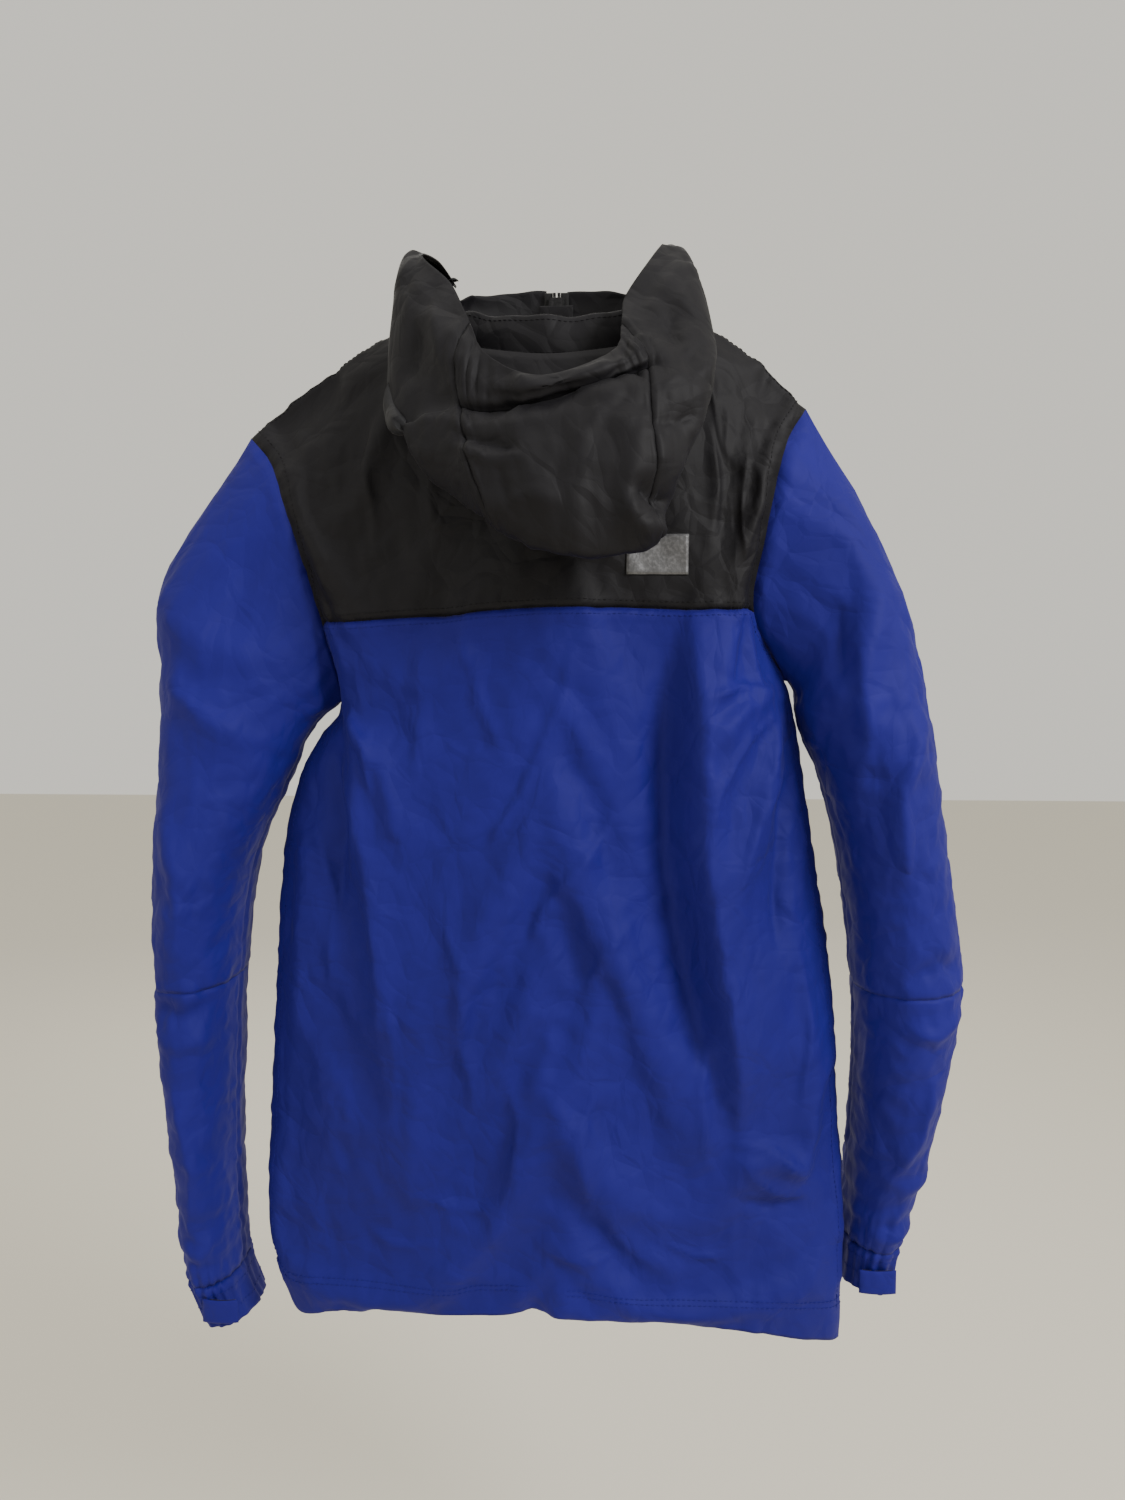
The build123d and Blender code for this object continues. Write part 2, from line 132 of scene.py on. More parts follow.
class Graph:
    """A small helper that adds nodes and links to one material."""

    def __init__(self, name):
        self.material = bpy.data.materials.new(name)
        self.material.use_nodes = True
        self.tree = self.material.node_tree
        self.shader = self.tree.nodes["Principled BSDF"]

    def node(self, kind, inputs=None, **settings):
        made = self.tree.nodes.new(kind)
        for key, value in settings.items():
            setattr(made, key, value)
        for key, value in (inputs or {}).items():
            if isinstance(value, bpy.types.NodeSocket):
                self.tree.links.new(value, made.inputs[key])
            else:
                made.inputs[key].default_value = value
        return made

    def link(self, source, target):
        self.tree.links.new(source, target)

    def math(self, operation, a, b=None):
        inputs = {0: a} if b is None else {0: a, 1: b}
        return self.node("ShaderNodeMath", inputs, operation=operation).outputs[0]

    def mix(self, factor, a, b):
        made = self.node("ShaderNodeMix", {"Factor": factor}, data_type="RGBA")
        for socket, value in ((made.inputs[6], a), (made.inputs[7], b)):
            if isinstance(value, bpy.types.NodeSocket):
                self.tree.links.new(value, socket)
            else:
                socket.default_value = (*value, 1)
        return made.outputs[2]


def fabric(name, colour, shade, rough, sheen, weave=0.0009, weave_depth=0.06, crinkle=0.5, use_uv=True):
    """Coated cloth: a plain weave, fine crinkles, uneven dye and a soft sheen."""
    g = Graph(name)
    if use_uv:
        place = g.node("ShaderNodeUVMap", uv_map="cloth").outputs["UV"]
    else:
        place = g.node("ShaderNodeTexCoord").outputs["Object"]
    solid = g.node("ShaderNodeTexCoord").outputs["Object"]
    blotch = g.node("ShaderNodeTexNoise", {"Vector": solid, "Scale": 9.0, "Detail": 4.0, "Roughness": 0.6})
    fine = g.node("ShaderNodeTexNoise", {"Vector": solid, "Scale": 240.0, "Detail": 3.0, "Roughness": 0.6})
    ramp = g.node("ShaderNodeMapRange", {"Value": blotch.outputs["Fac"], "From Min": 0.3, "From Max": 0.7})
    tone = g.mix(ramp.outputs[0], colour, shade)
    thread = 2 * math.pi / weave
    warp = g.node("ShaderNodeSeparateXYZ", {"Vector": place})
    across = g.math("SINE", g.math("MULTIPLY", warp.outputs[0], thread))
    along = g.math("SINE", g.math("MULTIPLY", warp.outputs[1], thread))
    cloth = g.math("MULTIPLY", g.math("ADD", g.math("MULTIPLY", across, along), 1.0), 0.5)
    darker = g.math("MULTIPLY", g.math("ADD", g.math("MULTIPLY", cloth, 0.10), g.math("MULTIPLY", fine.outputs["Fac"], 0.12)), 1.0)
    g.link(g.mix(darker, tone, tuple(0.45 * c for c in colour)), g.shader.inputs["Base Color"])
    bend = g.node("ShaderNodeTexNoise", {"Vector": solid, "Scale": 7.0, "Detail": 3.0})
    bent = g.node("ShaderNodeVectorMath", {0: bend.outputs["Color"], 1: (0.11, 0.11, 0.11)}, operation="MULTIPLY")
    warped = g.node("ShaderNodeVectorMath", {0: solid, 1: bent.outputs[0]}, operation="ADD").outputs[0]
    cells = g.node("ShaderNodeTexVoronoi", {"Vector": warped, "Scale": 19.0}, feature="DISTANCE_TO_EDGE")
    small = g.node("ShaderNodeTexVoronoi", {"Vector": warped, "Scale": 47.0}, feature="DISTANCE_TO_EDGE")
    lines = g.math("MINIMUM", g.math("MULTIPLY", cells.outputs[0], 1.0), 0.22)
    finer = g.math("MULTIPLY", g.math("MINIMUM", small.outputs[0], 0.2), 0.3)
    crease = g.node("ShaderNodeBump", {"Strength": crinkle, "Distance": 0.010, "Height": g.math("ADD", lines, finer)})
    bump = g.node(
        "ShaderNodeBump",
        {"Strength": weave_depth, "Distance": 0.0004, "Height": cloth, "Normal": crease.outputs[0]},
    )
    grain = g.node(
        "ShaderNodeBump",
        {"Strength": 0.08, "Distance": 0.0006, "Height": fine.outputs["Fac"], "Normal": bump.outputs[0]},
    )
    g.link(grain.outputs[0], g.shader.inputs["Normal"])
    spread = g.node("ShaderNodeMapRange", {"Value": blotch.outputs["Fac"], "To Min": rough - 0.05, "To Max": rough + 0.06})
    g.link(spread.outputs[0], g.shader.inputs["Roughness"])
    g.shader.inputs["Sheen Weight"].default_value = sheen
    g.shader.inputs["Sheen Roughness"].default_value = 0.45
    g.shader.inputs["Specular IOR Level"].default_value = 0.22
    return g.material


def hardware(name, colour, rough, metal=0.0, ridge=0.0):
    """Enamelled metal or moulded plastic with slight wear on its surface."""
    g = Graph(name)
    solid = g.node("ShaderNodeTexCoord").outputs["Object"]
    grain = g.node("ShaderNodeTexNoise", {"Vector": solid, "Scale": 420.0, "Detail": 3.0})
    wear = g.node("ShaderNodeMapRange", {"Value": grain.outputs["Fac"], "From Min": 0.45, "From Max": 0.8})
    lighter = tuple(min(1.0, 1.8 * c + 0.01) for c in colour)
    g.link(g.mix(wear.outputs[0], colour, lighter), g.shader.inputs["Base Color"])
    height = grain.outputs["Fac"]
    if ridge:
        rows = g.node("ShaderNodeSeparateXYZ", {"Vector": solid})
        teeth = g.math("SINE", g.math("MULTIPLY", rows.outputs[2], 2 * math.pi / ridge))
        height = g.math("ADD", g.math("MULTIPLY", teeth, 1.5), height)
    bump = g.node("ShaderNodeBump", {"Strength": 0.35, "Distance": 0.0006, "Height": height})
    g.link(bump.outputs[0], g.shader.inputs["Normal"])
    rougher = g.node("ShaderNodeMapRange", {"Value": grain.outputs["Fac"], "To Min": rough - 0.06, "To Max": rough + 0.12})
    g.link(rougher.outputs[0], g.shader.inputs["Roughness"])
    g.shader.inputs["Metallic"].default_value = metal
    return g.material


def make_materials():
    """Every finish of the jacket, by the record's material slot."""
    blue, blue_shade = (0.0092, 0.0064, 0.190), (0.0074, 0.0050, 0.155)
    black, black_shade = (0.0060, 0.0056, 0.0080), (0.0044, 0.0040, 0.0060)
    return {
        "blue_shell": fabric("blue_nylon", blue, blue_shade, 0.68, 0.02),
        "black_shell": fabric("black_nylon", black, black_shade, 0.62, 0.02),
        "lining": fabric("lining_taffeta", (0.012, 0.012, 0.014), (0.009, 0.009, 0.011), 0.55, 0.05),
        "black_webbing": fabric(
            "woven_tape", (0.012, 0.012, 0.013), (0.008, 0.008, 0.009), 0.7, 0.2, 0.0016, 0.5, 0.05, False
        ),
        "zip_chain": hardware("zip_teeth", (0.012, 0.012, 0.013), 0.42, 0.0, 0.0024),
        "zip_hardware": hardware("zip_enamel", (0.016, 0.016, 0.018), 0.34, 0.7),
        "hook_and_loop": fabric(
            "hook_and_loop_pile", (0.010, 0.010, 0.011), (0.006, 0.006, 0.007), 0.9, 0.35, 0.0012, 0.9, 0.4, False
        ),
        "label": fabric("label_satin", (0.42, 0.43, 0.45), (0.36, 0.37, 0.39), 0.45, 0.2, 0.0008, 0.2, 0.05, False),
        "reflective": hardware("reflective_film", (0.085, 0.085, 0.09), 0.42, 0.25),
        "eyelet_metal": hardware("eyelet_enamel", (0.02, 0.02, 0.022), 0.35, 0.8),
    }


# ------------------------------------------------------------------ small geometry tools
def smooth(x):
    """0 to 1 with flat ends."""
    x = np.clip(x, 0.0, 1.0)
    return x * x * (3 - 2 * x)


def through(knots, at):
    """Catmull-Rom curve through rows of numbers, read at positions from 0 to len(knots) - 1."""
    knots = np.asarray(knots, float)
    at = np.clip(np.asarray(at, float), 0, len(knots) - 1)
    low = np.minimum(at.astype(int), len(knots) - 2)
    t = (at - low).reshape(-1, *([1] * (knots.ndim - 1)))
    before = knots[np.maximum(low - 1, 0)]
    here, there = knots[low], knots[low + 1]
    after = knots[np.minimum(low + 2, len(knots) - 1)]
    return 0.5 * (
        2 * here
        + (there - before) * t
        + (2 * before - 5 * here + 4 * there - after) * t**2
        + (3 * here - before - 3 * there + after) * t**3
    )


def from_grid(name, points, uv=None, closed=False):
    """A mesh from a (rows, columns, 3) grid; closed joins the last column to the first."""
    rows, columns = points.shape[:2]
    flat = points.reshape(-1, 3)
    faces = []
    last = columns if closed else columns - 1
    for r in range(rows - 1):
        for c in range(last):
            d = (c + 1) % columns
            faces.append((r * columns + c, r * columns + d, (r + 1) * columns + d, (r + 1) * columns + c))
    mesh = bpy.data.meshes.new(name)
    mesh.from_pydata([tuple(p) for p in flat], [], faces)
    if uv is not None:
        layer = mesh.uv_layers.new(name="cloth")
        flat_uv = uv.reshape(-1, 2)
        loops = np.zeros(len(mesh.loops), np.int32)
        mesh.loops.foreach_get("vertex_index", loops)
        layer.data.foreach_set("uv", flat_uv[loops].astype(np.float32).ravel())
    mesh.update()
    made = bpy.data.objects.new(name, mesh)
    bpy.context.collection.objects.link(made)
    return made


def use_modifier(piece, kind, **settings):
    """Adds a modifier and applies it to the mesh."""
    modifier = piece.modifiers.new(kind.lower(), kind)
    for key, value in settings.items():
        setattr(modifier, key, value)
    bpy.context.view_layer.update()
    made = bpy.data.meshes.new_from_object(piece.evaluated_get(bpy.context.evaluated_depsgraph_get()))
    piece.modifiers.clear()
    old = piece.data
    piece.data = made
    bpy.data.meshes.remove(old)
    return piece


def points_of(mesh):
    """A mesh's vertices as an (n, 3) array."""
    out = np.zeros(len(mesh.vertices) * 3)
    mesh.vertices.foreach_get("co", out)
    return out.reshape(-1, 3)


def move_points(mesh, points):
    mesh.vertices.foreach_set("co", np.asarray(points, float).ravel())
    mesh.update()


def normals_of(mesh):
    out = np.zeros(len(mesh.vertices) * 3)
    mesh.vertices.foreach_get("normal", out)
    return out.reshape(-1, 3)


# ------------------------------------------------------------------ torso: sections from hem to shoulder
SIDE_Y = -37.0  # depth of the side seams and the shoulder line
FRONT_FACE = 61.3  # how far the closure stands in front of the side seams
SLOT = 10.0  # half width of the gap that the front zip fills
POCKET_EDGES = (112.0, 132.0)  # x of the gap that a pocket zip fills
# millimetres: z at the left edge, middle and right edge, x of the left and right edge, depth of the back,
# half opening of the armhole, and how far the row follows the shoulder line
ROWS = [
    (-774, -744, -786, 231, 238, 55, 0, 0),
    (-700, -693, -712, 240, 241, 57, 0, 0),
    (-640, -632, -644, 241, 239, 60, 0, 0),
    (-577, -575, -577, 238, 234, 62, 0, 0),
    (-490, -487, -488, 232, 227, 64, 0, 0),
    (-407, -404, -406, 225, 215, 65, 0, 0),
    (-340, -338, -332, 214, 203, 66, 0, 0),
    (-293, -294, -280, 191, 195, 66, 0, 0),
    (-263, -256, -247, 170, 185, 66, 0, 0),
    (-202, -189, -191, 179, 153, 66, 24, 0.0),
    (-142, -130, -134, 193, 160, 63, 34, 0.12),
    (-104, -80, -92, 206, 169, 57, 32, 0.40),
    (-78, -40, -62, 218, 179, 50, 20, 0.75),
    (-55, -7, -35, 241, 196, 42, 0, 1.0),
]
POCKET_ROWS = (3, 5)
UNDERARM_ROW, YOKE_ROW = 8, 9
NECK_SHARE, NECK_HALF = 0.46, 98.0
STEP = 0.0068


def steps_between(heights, step):
    """Positions along a list of sections that are about step apart."""
    out = []
    for i in range(len(heights) - 1):
        count = max(2, int(round(abs(heights[i + 1] - heights[i]) / step)))
        out += [i + k / count for k in range(count)]
    return np.array(out + [len(heights) - 1.0])


ROW_AT = steps_between([row[1] * MM for row in ROWS], STEP)
COLUMN_AT = np.unique(
    np.concatenate(
        [
            np.linspace(0, 0.4533, round(0.102 / STEP) + 1),
            np.linspace(0.4533, 0.5422, 4),
            np.linspace(0.5422, 1, round(0.13 / STEP) + 1),
        ]
    )
)


def torso_half(side, front):
    """Points of half a torso sheet, from the middle or the zip to the side, and their cloth coordinates."""
    rows = through(ROWS, ROW_AT)
    left_z, mid_z, right_z, left_x, right_x, depth, edge, ridge = [rows[:, i][:, None] for i in range(8)]
    side_z, wide = (left_z, left_x) if side > 0 else (right_z, right_x)
    edge, ridge = np.clip(edge, 0, None), np.clip(ridge, 0, 1)
    if front:
        mid_z = mid_z - 14 * smooth(1 - ROW_AT)[:, None]
    slot = SLOT if front else 0.0
    share = COLUMN_AT[None, :]
    inner = slot + (POCKET_EDGES[0] - slot) * share / 0.4533
    middle = POCKET_EDGES[0] + 20 * (share - 0.4533) / 0.0889
    outer = POCKET_EDGES[1] + (wide - POCKET_EDGES[1]) * (share - 0.5422) / 0.4578
    x = np.where(share <= 0.4533, inner, np.where(share <= 0.5422, middle, outer))
    top_in = slot + (NECK_HALF - slot) * np.clip(share / NECK_SHARE, 0, 1)
    top = np.where(share <= NECK_SHARE, top_in, NECK_HALF + (wide - NECK_HALF) * (share - NECK_SHARE) / (1 - NECK_SHARE))
    s = x / wide
    x = x * (1 - ridge) + top * ridge
    bow = mid_z - (left_z + right_z) / 2
    across = s if side > 0 else -s
    z = (left_z + right_z) / 2 + (left_z - right_z) / 2 * across + bow * (1 - s**2.2)
    round_neck = np.sqrt(np.clip(1 - (top / NECK_HALF) ** 2, 0, 1)) * (share < NECK_SHARE)
    slope = np.clip((top - NECK_HALF) / (wide - NECK_HALF), 0, 1)
    line = side_z + (36 - side_z) * (1 - slope) ** 0.9 + 5 * np.sin(math.pi * slope)
    line = line + round_neck * (6 if front else -42)
    z = z * (1 - ridge) + line * ridge
    if side > 0:
        z = z + 24 * smooth((s - 0.86) / 0.14) ** 2 * smooth(1 - ROW_AT)[:, None]
    oval = np.sqrt(np.clip(1 - s**2, 0, 1))
    reach = FRONT_FACE if front else depth
    neck = 52.6 * round_neck - (8.8 if front else -8.8) * -1 * 0
    y = reach * oval * (1 - ridge**3) + (neck + (8.8 if front else -8.8) * (share < NECK_SHARE) * round_neck) * ridge**3
    y = (y + edge * s**6) * (-1 if front else 1) + SIDE_Y
    points = np.stack([x * side, y, z], -1) * MM
    cloth = np.stack([np.broadcast_to(share * 0.26, z.shape) + (0.6 if front else 0), z * MM], -1)
    return points, cloth


# ------------------------------------------------------------------ sleeves: sections from armhole to cuff
# millimetres: x and z of the outer edge, x and z of the inner edge, depth of the middle, half depth
SLEEVES = {
    1: [
        (270, -102, 179, -270, -38, 44),
        (306, -158, 190, -280, -37, 52),
        (315, -194, 201, -296, -37, 56),
        (314, -265, 217, -330, -37, 60),
        (319, -385, 247, -400, -37, 65),
        (323, -492, 260, -491, -38, 61),
        (320, -600, 267, -595, -43, 55),
        (314, -690, 270, -684, -49, 49),
        (311, -750, 268, -748, -54, 45),
        (302, -790, 256, -784, -57, 42),
    ],
    -1: [
        (236, -105, 192, -256, -38, 44),
        (263, -160, 194, -274, -37, 51),
        (281, -210, 200, -294, -37, 55),
        (293, -265, 213, -325, -37, 60),
        (309, -372, 230, -395, -38, 62),
        (326, -486, 243, -491, -44, 60),
        (320, -565, 247, -565, -52, 56),
        (306, -650, 246, -645, -63, 50),
        (291, -716, 243, -712, -73, 45),
        (287, -756, 241, -750, -77, 42),
    ],
}
ELBOW_SECTION, CUFF_SECTION = 6, 9


def sleeve_grid(side, armhole):
    """Rings of a sleeve; armhole is the loop of seam points, from the shoulder tip over the back."""
    knots = np.array(SLEEVES[side], float)
    tip, under = armhole[0] / MM, armhole[len(armhole) // 2] / MM
    first = [abs(tip[0]), tip[2], abs(under[0]), under[2], SIDE_Y, 30]
    knots = np.vstack([first, knots])
    at = steps_between(knots[:, 3] * MM - 0.25 * knots[:, 1] * MM * 0, STEP)
    count = len(armhole)
    turn = 2 * math.pi * np.arange(count) / count
    rows = through(knots, at)
    outer_x, outer_z, inner_x, inner_z, mid_y, deep = [rows[:, i][:, None] for i in range(6)]
    swing = (1 + np.cos(turn))[None, :] / 2
    squeeze = np.abs(np.sin(turn)) ** 0.85 * np.sign(np.sin(turn))
    x = (inner_x + (outer_x - inner_x) * swing) * side
    z = inner_z + (outer_z - inner_z) * swing
    y = mid_y + deep * squeeze[None, :]
    points = np.stack([x, y, z], -1) * MM
    near = smooth(1 - at / 1.0)[:, None, None]
    cuff = np.exp(-(((at - CUFF_SECTION - 0.4) / 0.75) ** 2))[:, None]
    bunch = np.exp(-(((at - CUFF_SECTION + 0.55) / 0.5) ** 2))[:, None]
    flute = 1 + 0.045 * cuff * np.sin(17 * turn + 2.2 * np.sin(3 * turn))[None, :]
    flute = flute + 0.05 * bunch * np.sin(at[:, None] * 21 + 1.8 * np.sin(2 * turn)[None, :])
    centre = points.mean(axis=1, keepdims=True)
    points = centre + (points - centre) * flute[..., None]
    start_ring = points[0][None]
    points = points + (armhole[None] - start_ring) * near
    run = np.concatenate([[0], np.cumsum(np.linalg.norm(np.diff(points[:, 0], axis=0), axis=1))])
    cloth = np.stack(np.broadcast_arrays(turn[None, :] * 0.05 + 1.4, run[:, None]), -1)
    return points, cloth, at


# ------------------------------------------------------------------ one welded shell
PANELS = [
    "back_panel", "back_yoke", "left_front_panel", "right_front_panel", "left_front_yoke",
    "right_front_yoke", "left_upper_sleeve", "left_lower_sleeve", "left_cuff_band",
    "right_upper_sleeve", "right_lower_sleeve", "right_cuff_band",
]


class Shell:
    """Grids welded into one mesh; every grid remembers which vertices it uses."""

    def __init__(self):
        self.points, self.faces, self.panel, self.cloth = [], [], [], []
        self.seen, self.grids = {}, {}

    def vertex(self, point):
        key = tuple(int(round(c * 20000)) for c in point)
        if key not in self.seen:
            self.seen[key] = len(self.points)
            self.points.append(tuple(point))
        return self.seen[key]

    def add(self, name, points, cloth, panel_of, closed=False, flip=False):
        rows, columns = points.shape[:2]
        index = np.array([[self.vertex(points[r, c]) for c in range(columns)] for r in range(rows)])
        self.grids[name] = index
        for r in range(rows - 1):
            for c in range(columns if closed else columns - 1):
                panel = panel_of(r, c)
                if panel is None:
                    continue
                d = (c + 1) % columns
                corner = [(r, c), (r, d), (r + 1, d), (r + 1, c)]
                if flip:
                    corner.reverse()
                face = [index[i] for i in corner]
                if len(set(face)) < 3:
                    continue
                keep = [i for i in range(4) if face[i] not in face[:i]]
                self.faces.append([int(face[i]) for i in keep])
                self.cloth.append([tuple(cloth[corner[i]]) for i in keep])
                self.panel.append(PANELS.index(panel))

    def build(self, name):
        mesh = bpy.data.meshes.new(name)
        mesh.from_pydata(self.points, [], self.faces)
        layer = mesh.uv_layers.new(name="cloth")
        layer.data.foreach_set("uv", np.array([uv for face in self.cloth for uv in face], np.float32).ravel())
        for panel in PANELS:
            mesh.materials.append(bpy.data.materials.new("region_" + panel))
        mesh.polygons.foreach_set("material_index", np.array(self.panel, np.int32))
        mesh.update()
        made = bpy.data.objects.new(name, mesh)
        bpy.context.collection.objects.link(made)
        return made


def build_shell():
    """Torso and sleeves as one mesh, before its folds."""
    shell = Shell()
    edges = {}
    for side, word in ((1, "left"), (-1, "right")):
        for front in (False, True):
            points, cloth = torso_half(side, front)

            def panel_of(r, c, front=front, word=word):
                low, high = (int(np.argmin(abs(ROW_AT - k))) for k in POCKET_ROWS)
                left, right = (int(np.argmin(abs(COLUMN_AT - k))) for k in (0.4533, 0.5422))
                if front and low <= r < high and left <= c < right:
                    return None
                above = ROW_AT[r] >= YOKE_ROW - 1e-6
                if front:
                    return f"{word}_front_{'yoke' if above else 'panel'}"
                return "back_yoke" if above else "back_panel"

            shell.add(f"{word}_{'front' if front else 'back'}", points, cloth, panel_of, flip=(side > 0) != front)
            edges[side, front] = points[:, -1]
    for side, word in ((1, "left"), (-1, "right")):
        start = int(np.argmin(abs(ROW_AT - UNDERARM_ROW)))
        back, front = edges[side, False][start:], edges[side, True][start:]
        armhole = np.vstack([back[::-1], front[1:-1]])
        points, cloth, at = sleeve_grid(side, armhole)

        def panel_of(r, c, word=word, at=at):
            if at[r] >= CUFF_SECTION - 1e-6:
                return f"{word}_cuff_band"
            return f"{word}_{'lower' if at[r] >= ELBOW_SECTION - 1e-6 else 'upper'}_sleeve"

        shell.add(f"{word}_sleeve", points, cloth, panel_of, closed=True, flip=side > 0)
        shell.sleeve_at = {**getattr(shell, "sleeve_at", {}), word: at}
    return shell, shell.build("shell")


# ------------------------------------------------------------------ folds
def along(points_xz, path):
    """Signed distance to a path in the x-z plane, and how far along it each point lies, 0 to 1."""
    path = np.array(path, float)
    best = np.full(len(points_xz), 1e9)
    signed, place = np.zeros(len(points_xz)), np.zeros(len(points_xz))
    lengths = np.linalg.norm(np.diff(path, axis=0), axis=1)
    total, run = lengths.sum(), 0.0
    for a, b, length in zip(path[:-1], path[1:], lengths):
        way = (b - a) / length
        offset = points_xz - a
        t = offset @ way
        t_in = np.clip(t, 0, length)
        gap = offset - t_in[:, None] * way
        distance = np.linalg.norm(gap, axis=1)
        side = way[0] * offset[:, 1] - way[1] * offset[:, 0]
        nearer = distance < best
        best = np.where(nearer, distance, best)
        signed = np.where(nearer, distance * np.sign(side), signed)
        place = np.where(nearer, (run + t) / total, place)
        run += length
    return signed, place


# millimetres, seen from behind: path, height, width on the path's left, width on its right. Negative
# heights are hollows.
BACK_FOLDS = [
    ([(-106, -140), (-104, -205), (-107, -280), (-108, -362), (-125, -462), (-147, -568), (-158, -630)], 22, 7, 52),
    ([(-93, -190), (-95, -280), (-97, -362), (-114, -462), (-136, -560)], -12, 24, 7),
    ([(-32, -302), (5, -378), (58, -462), (84, -540)], 8, 26, 10),
    ([(-20, -330), (22, -400), (72, -480)], -6, 10, 18),
    ([(-69, -393), (-40, -477), (-10, -568), (4, -650)], 8, 12, 28),
    ([(150, -218), (147, -340), (132, -492), (126, -620)], 8, 12, 26),
    ([(110, -416), (102, -530), (110, -629), (104, -700)], 6, 22, 12),
    ([(-181, -250), (-144, -264), (-112, -295)], 7, 10, 16),
    ([(-181, -262), (-148, -363), (-136, -420)], 8, 16, 9),
    ([(-190, -290), (-176, -380), (-172, -470)], -6, 12, 12),
    ([(-136, -614), (-174, -617), (-214, -637)], 9, 16, 8),
    ([(-140, -640), (-180, -662), (-214, -668)], -6, 8, 12),
    ([(158, -264), (124, -310), (110, -386)], 7, 12, 18),
    ([(176, -280), (166, -360), (180, -450)], -6, 12, 14),
    ([(95, -664), (60, -676), (20, -670)], 4, 8, 7),
    ([(-70, -682), (-92, -700), (-114, -712)], 5, 8, 8),
    ([(60, -712), (30, -722), (0, -718)], 3, 7, 7),
    ([(50, -142), (58, -190), (64, -260)], 5, 16, 10),
    ([(200, -330), (206, -450), (214, -580)], 5, 12, 12),
    ([(-206, -480), (-214, -560), (-200, -660)], 6, 12, 12),
]
# thin creases of the back, pressed in after the cloth is refined: path, height, width, width
CREASES = [
    ([(-24, -200), (-10, -260), (20, -330), (60, -400)], 2.2, 4, 9),
    ([(66, -205), (52, -262), (30, -310)], 2.0, 5, 8),
    ([(100, -206), (96, -270), (104, -340)], 1.8, 6, 5),
    ([(-176, -256), (-140, -252), (-112, -262)], 2.6, 5, 6),
    ([(-178, -270), (-150, -290), (-126, -330), (-118, -372)], 2.6, 6, 4),
    ([(-184, -300), (-166, -340), (-158, -400)], 2.2, 4, 7),
    ([(-60, -330), (-34, -372), (4, -420), (20, -470)], 2.4, 4, 10),
    ([(-74, -420), (-44, -452), (-26, -500)], 2.0, 6, 4),
    ([(160, -270), (140, -300), (134, -344)], 2.4, 6, 4),
    ([(170, -300), (150, -352), (156, -420)], 2.0, 4, 7),
    ([(190, -360), (170, -420), (176, -500)], 1.8, 7, 4),
    ([(84, -420), (66, -470), (70, -530), (50, -590)], 2.2, 4, 8),
    ([(128, -470), (118, -540), (124, -610)], 1.8, 7, 4),
    ([(40, -540), (22, -590), (30, -650)], 1.8, 4, 7),
    ([(-40, -540), (-24, -600), (-34, -660)], 2.0, 7, 4),
    ([(-130, -500), (-116, -560), (-124, -630)], 2.2, 5, 8),
    ([(-190, -440), (-204, -520), (-196, -600)], 2.0, 4, 7),
    ([(-134, -606), (-168, -612), (-206, -640)], 2.8, 4, 7),
    ([(-150, -626), (-178, -650), (-216, -660)], 2.4, 6, 4),
    ([(110, -650), (76, -664), (30, -660)], 1.8, 4, 4),
    ([(150, -690), (120, -700), (84, -694)], 1.6, 4, 4),
    ([(10, -690), (-28, -700), (-60, -694)], 1.8, 4, 4),
    ([(-80, -680), (-112, -700), (-150, -704)], 2.0, 4, 4),
    ([(76, -60), (90, -100), (84, -150)], 1.8, 5, 8),
    ([(130, -40), (140, -90), (128, -150)], 1.8, 5, 8),
    ([(-120, -50), (-126, -100), (-120, -160)], 2.2, 8, 5),
    ([(-150, -60), (-144, -110), (-148, -170)], 1.8, 5, 8),
]
FRONT_FOLDS = [
    ([(160, -250), (120, -330), (84, -420)], 6, 16, 12),
    ([(-160, -250), (-118, -320), (-80, -400)], 6, 12, 16),
    ([(60, -120), (74, -220), (66, -330)], 5, 14, 14),
    ([(-60, -120), (-70, -230), (-60, -350)], 5, 14, 14),
    ([(180, -420), (176, -540), (190, -660)], 6, 16, 12),
    ([(-180, -420), (-172, -550), (-190, -670)], 6, 12, 16),
    ([(60, -560), (80, -640), (60, -720)], 4, 14, 12),
    ([(-60, -580), (-76, -650), (-60, -720)], 4, 12, 14),
]
SLEEVE_FOLDS = {
    "left": [
        ([(312, -180), (262, -216), (214, -240)], 7, 12, 9),
        ([(306, -232), (268, -268), (226, -300)], 6, 12, 9),
        ([(232, -130), (238, -200), (244, -262)], -5, 12, 10),
        ([(300, -330), (284, -400), (290, -470)], 4, 12, 12),
        ([(318, -500), (292, -512), (264, -506)], -4, 6, 6),
        ([(316, -524), (290, -536), (266, -530)], 3, 6, 6),
        ([(300, -560), (290, -640), (296, -720)], 4, 9, 9),
        ([(314, -700), (290, -716), (272, -706)], 4, 7, 7),
    ],
    "right": [
        ([(-250, -160), (-232, -230), (-240, -300)], 6, 10, 14),
        ([(-284, -262), (-262, -330), (-272, -410)], 6, 12, 9),
        ([(-228, -140), (-216, -200), (-220, -262)], -5, 10, 10),
        ([(-322, -470), (-296, -462), (-268, -478)], -4, 6, 6),
        ([(-322, -500), (-296, -520), (-270, -512)], 5, 8, 6),
        ([(-300, -545), (-290, -600), (-270, -650)], 5, 8, 10),
        ([(-310, -640), (-284, -652), (-258, -640)], 4, 6, 6),
        ([(-296, -690), (-272, -700), (-250, -690)], 4, 6, 6),
    ],
}


